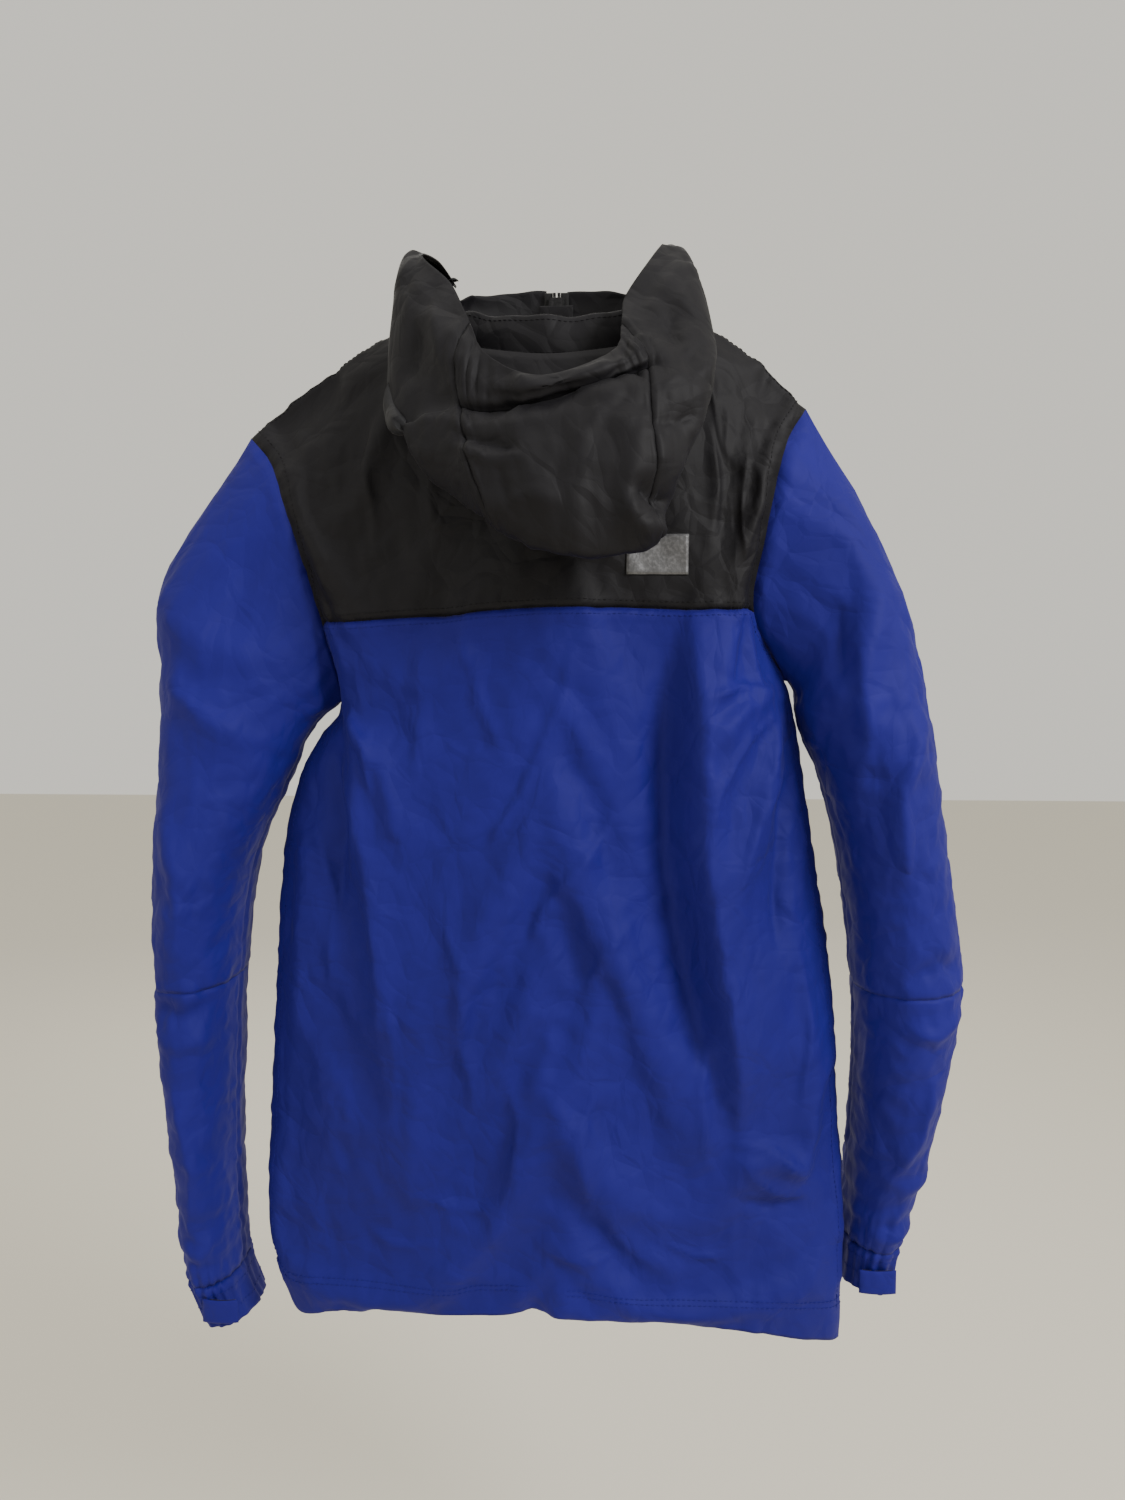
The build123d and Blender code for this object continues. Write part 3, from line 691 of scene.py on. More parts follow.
def fold_heights(points, folds):
    """How far each point moves along its normal for a list of folds."""
    flat = points[:, [0, 2]] / MM
    total = np.zeros(len(points))
    for path, height, left, right in folds:
        signed, place = along(flat, path)
        width = np.where(signed > 0, left, right)
        fade = smooth(np.clip(place, 0, 1) / 0.3) * smooth((1 - np.clip(place, 0, 1)) / 0.3)
        total += height * np.exp(-1.5 * (np.sqrt((signed / width) ** 2 + 0.025) - 0.16)) * fade
    return total * MM * FOLD_SIZE


def ripple(points, scale, seed):
    """Smooth noise from a few dozen random waves; sizes are in metres."""
    draw = np.random.default_rng(seed)
    total = np.zeros(len(points))
    for _ in range(28):
        way = draw.normal(size=3) * np.array([1.25, 1.0, 0.7])
        way /= np.linalg.norm(way)
        size = scale * draw.uniform(0.6, 1.7)
        total += np.sin(points @ way * (2 * math.pi / size) + draw.uniform(0, 6.28))
    return total / math.sqrt(28)


def creased(points, scale, seed):
    """Sharp valleys and ridges where smooth noise changes sign, as in crumpled coated cloth."""
    ridges = 0.45 - np.abs(ripple(points, scale, seed)) ** 0.75
    valleys = np.abs(ripple(points, scale * 0.8, seed + 1)) ** 0.75 - 0.45
    return ridges + 0.8 * valleys


# ------------------------------------------------------------------ draping
def drape(piece, hold, frames, grow):
    """A short cloth simulation: the fabric grows a little and buckles where it isn't held."""
    group = piece.vertex_groups.new(name="hold")
    level = np.round(hold * 20).astype(int)
    for value in np.unique(level):
        group.add([int(i) for i in np.nonzero(level == value)[0]], float(value) / 20, "REPLACE")
    modifier = piece.modifiers.new("drape", "CLOTH")
    cloth = modifier.settings
    cloth.quality = 5
    cloth.mass = 0.12
    cloth.tension_stiffness = 22
    cloth.compression_stiffness = 22
    cloth.shear_stiffness = 8
    cloth.bending_stiffness = 3.0
    cloth.air_damping = 2.0
    cloth.vertex_group_mass = "hold"
    cloth.pin_stiffness = 0.6
    cloth.shrink_min = -grow
    modifier.collision_settings.use_collision = False
    modifier.point_cache.frame_start, modifier.point_cache.frame_end = 1, frames
    scene = bpy.context.scene
    for step in range(1, frames + 1):
        scene.frame_set(step)
    out = piece.evaluated_get(bpy.context.evaluated_depsgraph_get()).data
    points = points_of(out)
    piece.modifiers.clear()
    scene.frame_set(1)
    return points


def shape_shell(shell, piece):
    """Folds from the listed tables, wrinkles by simulation, then the points where zips and seams hold the cloth."""
    base = points_of(piece.data)
    normal = normals_of(piece.data)
    move = np.zeros(len(base))
    weight = np.zeros(len(base))
    free = np.ones(len(base))
    crease = np.zeros(len(base))
    for name, index in shell.grids.items():
        used = np.unique(index)
        side = name.split("_")[0]
        if name.endswith("_sleeve"):
            at = np.repeat(shell.sleeve_at[side], index.shape[1])
            flat_index = index.ravel()
            behind_or_front = np.where(normal[used, 1] > -0.25, 1.0, 0.35)
            height = fold_heights(base[used], SLEEVE_FOLDS[side]) * behind_or_front
            ring = np.zeros(len(base))
            ring[flat_index] = smooth((at - 0.15) / 0.8)
            height = height * ring[used]
            crease[used] = 0.0018 * creased(base[used] * [1, 0.7, 1.2], 0.10, 31) * ring[used]
            crease[used] += 0.0012 * creased(base[used] * [1, 0.7, 1.0], 0.045, 53) * ring[used]
        else:
            front = name.endswith("front")
            height = fold_heights(base[used], FRONT_FOLDS if front else BACK_FOLDS)
            rough = 0.0020 * creased(base[used] * [1.3, 1, 0.55], 0.15, 17)
            rough += 0.0008 * creased(base[used] * [1.2, 1, 0.7], 0.06, 41)
            side_edge = base[index[:, -1]]
            gap = np.abs(base[used, 0]) / np.interp(base[used, 2], side_edge[:, 2], np.abs(side_edge[:, 0]))
            height *= smooth((1.0 - gap) / 0.14)
            rough *= smooth((1.0 - gap) / 0.10)
            if front:
                x = np.abs(base[used, 0]) / MM
                z = base[used, 2] / MM
                by_zip = smooth((x - 26) / 40)
                pocket = np.maximum(np.abs(x - 122) - 10, 0) + np.maximum(np.abs(z + 490) - 85, 0)
                free[used] = np.minimum(by_zip, smooth((pocket - 8) / 30))
                height *= free[used]
                rough *= free[used]
            crease[used] = rough
        move[used] = np.where(np.abs(height) > np.abs(move[used]), height, move[used])
        weight[used] += 1
    shoulder = smooth((base[:, 2] + 0.03) / 0.05) * (np.abs(base[:, 0]) < 0.16)
    move *= 1 - shoulder
    crease *= 1 - shoulder
    shaped = base + normal * move[:, None]
    move_points(piece.data, shaped)
    hold = np.full(len(base), 0.12)
    for word in ("left", "right"):
        hold[shell.grids[f"{word}_sleeve"].ravel()] = 0.55
    hold[weight > 1] = 0.6
    hold = np.maximum(hold, 1 - 0.9 * free)
    hold = np.maximum(hold, shoulder)
    low = smooth((-0.735 - base[:, 2]) / 0.02)
    hold = np.maximum(hold, 0.35 * low)
    draped = drape(piece, hold, 20, 0.02)
    step = draped - shaped
    size = np.linalg.norm(step, axis=1)
    facing = 0.25 + 0.75 * np.abs(normals_of(piece.data)[:, 1])
    limit = 0.009 * free * facing + 0.0004
    crease *= facing
    step *= (np.minimum(size, limit) / np.maximum(size, 1e-9))[:, None]
    move_points(piece.data, shaped + step)
    move_points(piece.data, shaped + step + normals_of(piece.data) * crease[:, None])


def seam_lines(shell, points):
    """Every seam of the shell as a line of points, with how deep it pulls in."""
    lines = []
    row = {k: int(np.argmin(abs(ROW_AT - k))) for k in (0, UNDERARM_ROW, YOKE_ROW, len(ROWS) - 1)}
    for word in ("left", "right"):
        back, front = shell.grids[f"{word}_back"], shell.grids[f"{word}_front"]
        for grid in (back, front):
            lines.append(("yoke", points[grid[row[YOKE_ROW]]]))
            lines.append(("hem", points[grid[4]]))
        lines.append(("side", points[back[: row[UNDERARM_ROW] + 1, -1]]))
        lines.append(("shoulder", points[back[-1]]))
        sleeve = shell.grids[f"{word}_sleeve"]
        at = shell.sleeve_at[word]
        loop = np.append(sleeve[0], sleeve[0, 0])
        lines.append(("armhole", points[loop]))
        for section, kind in ((ELBOW_SECTION, "elbow"), (CUFF_SECTION, "cuff")):
            ring = sleeve[int(np.argmin(abs(at - section)))]
            lines.append((kind, points[np.append(ring, ring[0])]))
        lines.append(("inseam", points[sleeve[:, sleeve.shape[1] // 2]]))
    return lines


def dense(line, step):
    """The same line with points a step apart."""
    run = np.concatenate([[0], np.cumsum(np.linalg.norm(np.diff(line, axis=0), axis=1))])
    at = np.linspace(0, run[-1], max(2, int(run[-1] / step) + 1))
    return np.stack([np.interp(at, run, line[:, i]) for i in range(3)], 1)


def sew(piece, lines):
    """Presses each seam in and raises the turned allowance beside it, with small puckers."""
    tree = KDTree(sum(len(dense(line, 0.003)) for _, line in lines))
    kinds = []
    for kind, line in lines:
        for point in dense(line, 0.003):
            tree.insert(point, len(kinds))
            kinds.append(kind)
    tree.balance()
    points, normal = points_of(piece.data), normals_of(piece.data)
    push = np.zeros(len(points))
    for i, point in enumerate(points):
        _, which, gap = tree.find(point)
        if gap > 0.03:
            continue
        kind = kinds[which]
        pucker = math.sin(which * 0.83) * math.sin(which * 0.29 + 1)
        if kind == "hem":
            push[i] = -0.0007 * math.exp(-((gap / 0.0022) ** 2)) + 0.0006 * pucker * math.exp(-((gap / 0.01) ** 2))
        else:
            push[i] = -0.0016 * math.exp(-((gap / 0.002) ** 2)) + 0.0010 * math.exp(-(((gap - 0.0055) / 0.003) ** 2))
            if kind == "elbow":
                push[i] *= 0.4
            push[i] += (0.0004 if kind in ("side", "inseam") else 0.0008) * pucker * math.exp(-((gap / 0.010) ** 2))
    back = smooth(normal[:, 1] / 0.35) * (np.abs(points[:, 0]) < 0.235)
    push += 1.25 * fold_heights(points, CREASES) * back
    fine = smooth((points[:, 2] + 0.76) / 0.02) * smooth((0.0 - points[:, 2]) / 0.03)
    push += 0.0007 * creased(points, 0.028, 71) * fine * (0.3 + 0.7 * (normal[:, 1] > -0.5))
    move_points(piece.data, points + normal * push[:, None])


def split_panels(piece):
    """One open mesh per panel, by the region each face belongs to."""
    mesh = piece.data
    points = points_of(mesh)
    region = np.zeros(len(mesh.polygons), np.int32)
    mesh.polygons.foreach_get("material_index", region)
    uv = np.zeros(len(mesh.loops) * 2, np.float32)
    mesh.uv_layers["cloth"].data.foreach_get("uv", uv)
    uv = uv.reshape(-1, 2)
    faces = [[] for _ in PANELS]
    loops = [[] for _ in PANELS]
    for polygon in mesh.polygons:
        faces[region[polygon.index]].append(list(polygon.vertices))
        loops[region[polygon.index]].extend(polygon.loop_indices)
    out = {}
    for k, panel in enumerate(PANELS):
        used = sorted({v for face in faces[k] for v in face})
        new = {v: i for i, v in enumerate(used)}
        made = bpy.data.meshes.new(panel)
        made.from_pydata([tuple(points[v]) for v in used], [], [[new[v] for v in face] for face in faces[k]])
        layer = made.uv_layers.new(name="cloth")
        layer.data.foreach_set("uv", uv[loops[k]].ravel())
        made.update()
        out[panel] = bpy.data.objects.new("shell_" + panel, made)
        bpy.context.collection.objects.link(out[panel])
    bpy.data.objects.remove(piece)
    return out


# ------------------------------------------------------------------ finishing pieces
MATERIALS = make_materials()


def dress(piece, material, body, *nodes, slot=None, flat_share=None, held="hung", rests=()):
    """Material, smooth shading, body and replaced nodes; the flat share of a sheet of cloth is not used."""
    piece.data.materials.clear()
    piece.data.materials.append(MATERIALS[material])
    for polygon in piece.data.polygons:
        polygon.use_smooth = True
        polygon.material_index = 0
    if body:
        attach(piece, body)
    if nodes:
        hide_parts(*nodes)
    if flat_share:
        low, high = points_of(piece.data).min(0), points_of(piece.data).max(0)
    return piece


def thicken(piece, thickness, levels=0, offset=-1.0):
    """Gives open cloth its two faces and an edge."""
    use_modifier(piece, "SOLIDIFY", thickness=thickness, offset=offset, use_even_offset=False)
    if levels:
        use_modifier(piece, "SUBSURF", levels=levels, render_levels=levels)
    return piece


def slab(name, place, across, up, out, step=0.004, wave=0.0004, rounding=0.5):
    """A soft flat strip: a closed slab with rounded edges and gently uneven faces.

    place maps local (x, y up, z out) to the frame; the three pairs are its limits in metres.
    """
    (u0, u1), (v0, v1), (w0, w1) = across, up, out
    nu, nv = max(4, int((u1 - u0) / step)), max(4, int((v1 - v0) / step))
    edge = min((w1 - w0) * 1.2, (u1 - u0) / 4, (v1 - v0) / 4)
    u = np.unique(np.concatenate([[u0, u0 + edge * 0.3, u0 + edge], np.linspace(u0 + edge, u1 - edge, nu), [u1 - edge * 0.3, u1]]))
    v = np.unique(np.concatenate([[v0, v0 + edge * 0.3, v0 + edge], np.linspace(v0 + edge, v1 - edge, nv), [v1 - edge * 0.3, v1]]))
    grid_u, grid_v = np.meshgrid(u, v)
    inside = np.minimum.reduce([grid_u - u0, u1 - grid_u, grid_v - v0, v1 - grid_v]) / edge
    full = np.sqrt(1 - (1 - np.clip(inside, 0, 1)) ** 2) * (1 - rounding) + rounding * smooth(inside)
    middle, half = (w0 + w1) / 2, (w1 - w0) / 2
    flat = np.stack([grid_u.ravel(), grid_v.ravel(), np.zeros(grid_u.size)], 1)
    bend = (wave * ripple(flat + [0.1, 0.2, w0 * 9], 0.05, 5)).reshape(grid_u.shape)
    bend = np.clip(bend, -wave, wave)
    top = np.stack([grid_u, grid_v, middle + half * full + bend], -1)
    bottom = np.stack([grid_u, grid_v, middle - half * full + bend], -1)
    rows, columns = grid_u.shape
    points = np.concatenate([top.reshape(-1, 3), bottom.reshape(-1, 3)])
    count = rows * columns
    faces = []
    for r in range(rows - 1):
        for c in range(columns - 1):
            a, b, d, e = r * columns + c, r * columns + c + 1, (r + 1) * columns + c + 1, (r + 1) * columns + c
            faces.append((a, b, d, e))
            faces.append((a + count, e + count, d + count, b + count))
    mesh = bpy.data.meshes.new(name)
    mesh.from_pydata([tuple(p) for p in points], [], faces)
    form = bmesh.new()
    form.from_mesh(mesh)
    bmesh.ops.remove_doubles(form, verts=form.verts, dist=1e-6)
    bmesh.ops.recalc_face_normals(form, faces=form.faces)
    form.transform(place)
    if place.determinant() < 0:
        bmesh.ops.reverse_faces(form, faces=form.faces)
    form.to_mesh(mesh)
    form.free()
    made = bpy.data.objects.new(name, mesh)
    bpy.context.collection.objects.link(made)
    return made


def join(name, pieces):
    """Several meshes as one piece."""
    form = bmesh.new()
    for piece in pieces:
        form.from_mesh(piece.data)
        bpy.data.objects.remove(piece)
    mesh = bpy.data.meshes.new(name)
    form.to_mesh(mesh)
    form.free()
    made = bpy.data.objects.new(name, mesh)
    bpy.context.collection.objects.link(made)
    return made


def stitches(name, lines, surface, pitch=0.0042, length=0.0030, radius=0.00032, lift=0.0002):
    """Raised thread stitches along lines, laid on a surface."""
    points, faces = [], []
    for line in lines:
        spots = dense(line, pitch)
        for a, b in zip(spots[:-1], spots[1:]):
            middle = Vector((a + b) / 2)
            way = Vector(b - a)
            if way.length < pitch * 0.5:
                continue
            hit, normal, _, gap = surface.find_nearest(middle, 0.02)
            if hit is None:
                continue
            way = (way - normal * way.dot(normal)).normalized()
            across = normal.cross(way).normalized()
            first = len(points)
            for along_it, size in ((-0.5, 0.35), (-0.28, 1.0), (0.28, 1.0), (0.5, 0.35)):
                centre = hit + way * (length * along_it) + normal * (lift - (0.0002 if size < 1 else 0))
                for k in range(5):
                    turn = 2 * math.pi * k / 5
                    points.append(centre + (across * math.cos(turn) + normal * math.sin(turn)) * radius * size)
            for ring in range(3):
                for k in range(5):
                    a0, a1 = first + ring * 5 + k, first + ring * 5 + (k + 1) % 5
                    faces.append((a0, a1, a1 + 5, a0 + 5))
            faces.append(tuple(first + k for k in reversed(range(5))))
            faces.append(tuple(first + 15 + k for k in range(5)))
    mesh = bpy.data.meshes.new(name)
    mesh.from_pydata([tuple(p) for p in points], [], faces)
    mesh.update()
    made = bpy.data.objects.new(name, mesh)
    bpy.context.collection.objects.link(made)
    return made


def tree_of(*pieces):
    """A search tree over several meshes."""
    points, faces = [], []
    for piece in pieces:
        first = len(points)
        points += [v.co.copy() for v in piece.data.vertices]
        faces += [[first + v for v in p.vertices] for p in piece.data.polygons]
    return BVHTree.FromPolygons(points, faces)


# ------------------------------------------------------------------ hood
# Columns run round the neck from the wearer's left front to the right front. Each goes from the face
# opening's rim, over the flap, into the crease, down the pouch, under it and in to the neck seam.
# Millimetres.
HOOD = [
    [(83, -86, 74), (86, -88, 73), (88, -89, 69), (89, -89, 64), (89, -88, 58), (88, -86, 53), (87, -84, 48), (85, -81, 42)],
    [(84, -92, 76), (92, -96, 82), (99, -96, 78), (103, -95, 70), (104, -93, 60), (101, -90, 52), (96, -86, 46), (88, -82, 40)],
    [(92, -60, 84), (104, -62, 86), (112, -60, 72), (115, -58, 58), (114, -56, 46), (110, -54, 40), (106, -54, 38), (100, -54, 38)],
    [(98, -20, 77), (112, -16, 72), (118, -10, 34), (118, -4, 0), (116, 0, -16), (112, 0, -10), (106, -8, 12), (99, -24, 30)],
    [(90, 8, 62), (108, 18, 32), (112, 40, -52), (105, 52, -62), (92, 57, -82), (80, 53, -96), (76, 36, -70), (92, -6, 22)],
    [(70, 22, 41), (83, 42, 3), (74, 60, -53), (72, 72, -67), (60, 86, -98), (47, 80, -127), (46, 52, -106), (72, 8, 8)],
    [(54, 46, 8), (62, 62, -20), (57, 67, -57), (55, 82, -72), (45, 96, -108), (32, 90, -140), (32, 60, -118), (56, 14, 0)],
    [(40, 62, -19), (41, 72, -40), (39, 72, -60), (36, 88, -75), (28, 101, -111), (16, 96, -151), (18, 62, -128), (40, 17, -4)],
    [(1, 82, -39), (-1, 90, -47), (-2, 82, -54), (-5, 98, -71), (-12, 107, -112), (-20, 99, -159), (-22, 64, -133), (0, 20, -8)],
    [(-47, 66, -20), (-52, 78, -29), (-54, 74, -37), (-54, 92, -54), (-60, 103, -95), (-63, 95, -156), (-62, 60, -128), (-42, 17, -4)],
    [(-54, 42, 6), (-68, 64, -14), (-72, 68, -31), (-74, 86, -50), (-76, 95, -90), (-76, 87, -146), (-74, 55, -118), (-60, 13, 1)],
    [(-56, 20, 30), (-80, 44, 2), (-90, 64, -25), (-92, 78, -44), (-92, 84, -83), (-84, 77, -124), (-82, 50, -100), (-75, 7, 9)],
    [(-74, 2, 62), (-103, 22, 28), (-118, 42, -12), (-117, 54, -30), (-112, 60, -62), (-102, 53, -82), (-98, 32, -62), (-93, -6, 22)],
    [(-84, -24, 82), (-103, -16, 72), (-115, -4, 34), (-118, 4, 8), (-116, 6, -14), (-112, 2, -12), (-106, -8, 12), (-99, -24, 30)],
    [(-82, -60, 86), (-96, -60, 88), (-106, -58, 76), (-111, -56, 62), (-112, -54, 48), (-109, -54, 40), (-105, -54, 38), (-100, -54, 38)],
    [(-72, -92, 78), (-82, -96, 84), (-91, -96, 80), (-97, -95, 70), (-100, -93, 60), (-98, -90, 52), (-94, -86, 46), (-86, -82, 40)],
    [(-72, -86, 76), (-76, -88, 75), (-80, -89, 71), (-83, -89, 65), (-85, -88, 59), (-85, -86, 53), (-84, -84, 48), (-83, -81, 42)],
]
# creases of the pouch, in x and z: path, height, width on its left, width on its right
HOOD_FOLDS = [
    ([(-60, -112), (-76, -126), (-90, -122)], -6, 6, 10),
    ([(-52, -118), (-66, -140), (-84, -142)], 4, 8, 7),
    ([(66, -72), (40, -84), (8, -90)], -4, 8, 6),
    ([(70, -80), (34, -98), (0, -96)], 4, 6, 12),
    ([(-70, -74), (-92, -70), (-110, -62)], -3, 6, 6),
    ([(30, -130), (6, -120), (-20, -128)], 3, 8, 8),
    ([(96, 20), (92, -10), (96, -40)], -3, 7, 7),
    ([(-92, 20), (-88, 0), (-96, -20)], -3, 6, 6),
    ([(84, 30), (76, 0), (70, -36)], 3, 8, 8),
    ([(-30, -84), (-36, -110), (-32, -140)], -1.6, 5, 5),
    ([(24, -84), (26, -112), (14, -140)], -1.6, 5, 5),
]
FOLD_SIZE = 1.55  # how strongly all of the folds stand out
HOOD_BRIM_ROWS = 2.0  # control rows that the brim's facing takes up behind the neck


def curved(knots, step_u, step_v):
    """A smooth grid through control points given as columns of rows."""
    knots = np.array(knots, float)
    u = np.linspace(0, len(knots) - 1, step_u)
    v = np.linspace(0, knots.shape[1] - 1, step_v)
    columns = through(knots, u)
    return through(columns.transpose(1, 0, 2), v), u, v


def build_hood():
    """Outer panels, brim and lining of the hood, from one grid of control points."""
    grid, u, v = curved(HOOD, 190, 92)
    flat_uv = np.stack(np.broadcast_arrays(u[None, :] * 0.03, v[:, None] * 0.025), -1)
    whole = from_grid("hood_form", grid * MM, flat_uv)
    points, normal = points_of(whole.data), normals_of(whole.data)
    centre = Vector((0, 30, -60)) * MM
    out = 1 if np.mean(np.sum(normal * (points - np.array(centre)), 1)) > 0 else -1
    seam_fade = smooth((v[-1] - 0.4 - np.repeat(v, len(u))) / 1.2)
    rim_fade = smooth(np.repeat(v, len(u)) / 0.6)
    behind = smooth((normal[:, 1] * out + 0.1) / 0.4)
    gathers = 0.0016 * np.sin(np.tile(u, len(v)) * 21) * np.exp(-(((np.repeat(v, len(u)) - 1.0) / 0.8) ** 2))
    corner = sum(np.exp(-(((np.tile(u, len(v)) - c) / 0.7) ** 2)) for c in (6.7, 9.6))
    move = fold_heights(points, HOOD_FOLDS) * behind + 0.0026 * creased(points, 0.085, 3) + 0.0014 * creased(points, 0.035, 9)
    move = move * rim_fade * seam_fade * (0.25 + 0.75 * smooth((0.118 - np.abs(points[:, 0])) / 0.02)) + gathers * corner
    for at in (6.0, 10.0):
        seam = (np.tile(u, len(v)) - at) * 0.9
        move += (-0.0016 * np.exp(-((seam / 0.06) ** 2)) + 0.0008 * np.exp(-(((np.abs(seam) - 0.16) / 0.09) ** 2))) * seam_fade
    brim_edge = np.repeat(v, len(u)) - HOOD_BRIM_ROWS
    middle = smooth((np.tile(u, len(v)) - 5.6) / 0.8) * smooth((10.8 - np.tile(u, len(v))) / 0.8)
    move += 0.002 * middle * (np.exp(-(((brim_edge + 0.35) / 0.2) ** 2)) - 1.4 * np.exp(-((brim_edge / 0.12) ** 2)))
    points = points + normal * out * move[:, None]
    points = points.reshape(grid.shape)
    normal = (normal * out).reshape(grid.shape)
    bpy.data.objects.remove(whole)
    pieces = {}
    brim_row = int(np.argmin(abs(v - HOOD_BRIM_ROWS)))
    cuts = [0, int(np.argmin(abs(u - 6.0))), int(np.argmin(abs(u - 10.0))), len(u) - 1]
    names = ("hood_left_panel", "hood_center_panel", "hood_right_panel")
    lines = []
    for k, name in enumerate(names):
        low, high = cuts[k], cuts[k + 1]
        first = brim_row if k == 1 else 0
        part = points[first:, low : high + 1]
        pieces[name] = from_grid("shell_" + name, part, flat_uv[first:, low : high + 1])
    strip = points[: brim_row + 1, cuts[1] : cuts[2] + 1]
    pieces["hood_brim"] = from_grid("shell_hood_brim", strip, flat_uv[: brim_row + 1, cuts[1] : cuts[2] + 1])
    lines += [points[2:-6, c + d] + normal[2:-6, c + d] * 0.0002 for c in cuts[1:3] for d in (-2, 2)]
    lines += [points[int(brim_row * 0.55), cuts[1] : cuts[2]], points[4, 16 : cuts[1]], points[4, cuts[2] : -16]]
    lines.append(points[brim_row + 3, cuts[1] : cuts[2]])
    inner_rows = slice(2, int(np.argmin(abs(v - 5.6))))
    lining = from_grid("shell_hood_lining", (points - normal * 0.005)[inner_rows], flat_uv[inner_rows])
    return pieces, lining, lines


# ------------------------------------------------------------------ collar
COLLAR_SEAMS = (40.0, 140.0)


def collar_point(turn, rise, inset=0.0):
    """A point of the collar: turn in degrees round the neck, 90 at the nape; rise 0 to 1."""
    a = math.radians(turn)
    wide = 98 + (86 - 98) * rise - inset
    deep = 58 - inset
    lean = math.radians(25)
    bulge = 2.5 * math.sin(math.pi * rise)
    side_lift = 12 * math.cos(a) ** 2 * (1 - rise)
    x = (wide + bulge) * math.cos(a)
    y = -45.77 + (deep + bulge) * math.sin(a) * math.cos(lean) - 2.0 * rise
    z = 18 + 30 * rise - 58 * math.sin(a) * math.sin(lean) + side_lift
    wave = 1.3 * math.sin(math.radians(turn) * 9 + 1) * rise + 0.8 * math.sin(math.radians(turn) * 17) * rise
    return np.array([x, y + (wave if math.sin(a) > -0.6 else 0), z + wave * 0.5]) * MM


def build_collar():
    """Three collar panels from the neck seam to a rolled top edge and down inside, with a facing."""
    out = {}
    slot = math.degrees(math.asin(SLOT / 98))
    spans = {
        "collar_left": (-90 + slot, COLLAR_SEAMS[0]),
        "collar_back": COLLAR_SEAMS,
        "collar_right": (COLLAR_SEAMS[1], 270 - slot),
    }
    for name, (start, end) in spans.items():
        turns = np.linspace(start, end, max(16, int((end - start) * 0.6)))
        profile = [(-0.34, 3.4), (-0.2, 2.6), (-0.1, 1.4)] + [(r, 0.0) for r in np.linspace(0.0, 0.94, 12)] + [(0.985, 0.5), (1.0, 1.6), (0.985, 2.7)]
        profile += [(r, 3.2) for r in np.linspace(0.92, 0.05, 10)]
        grid = np.array([[collar_point(t, r, i) for t in turns] for r, i in profile])
        uv = np.stack(np.broadcast_arrays(turns[None, :] * 0.0015, np.arange(len(profile))[:, None] * 0.003), -1)
        out[name] = from_grid("shell_" + name, grid, uv)
    lines = []
    for rise in (0.08, 0.86):
        lines.append(np.array([collar_point(t, rise) for t in np.linspace(-80, 260, 200)]))
    turns = np.linspace(52, 128, 60)
    facing = np.array([[collar_point(t, r, 4.4) for t in turns] for r in np.linspace(0.06, 0.9, 14)])
    out["neck_facing"] = from_grid("shell_neck_facing", facing)
    return out, lines


# ------------------------------------------------------------------ trims
def plane_at(x):
    """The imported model's plane on the front panel at x: local x across, y up, z outwards."""
    half_width, half_depth, front = 0.234, 0.066, -0.09834
    root = math.sqrt(1 - (x / half_width) ** 2)
    slope = half_depth * x / (half_width**2 * root)
    way = Vector((1, slope, 0)).normalized()
    out = Vector((slope, -1, 0)).normalized()
    place = Matrix((way, Vector((0, 0, 1)), out)).transposed().to_4x4()
    place.translation = Vector((x, front + half_depth * (1 - root), 0))
    return place


def facing_place(y):
    """A plane that faces the front at depth y."""
    place = Matrix(((1, 0, 0), (0, 0, -1), (0, 1, 0))).to_4x4()
    place.translation = Vector((0, y, 0))
    return place


def spans_of(node):
    """A CAD node's limits as (x pair, z pair, y pair) for a slab that faces the front."""
    low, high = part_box(node)
    return (low[0], high[0]), (low[2], high[2]), (-high[1], -low[1])


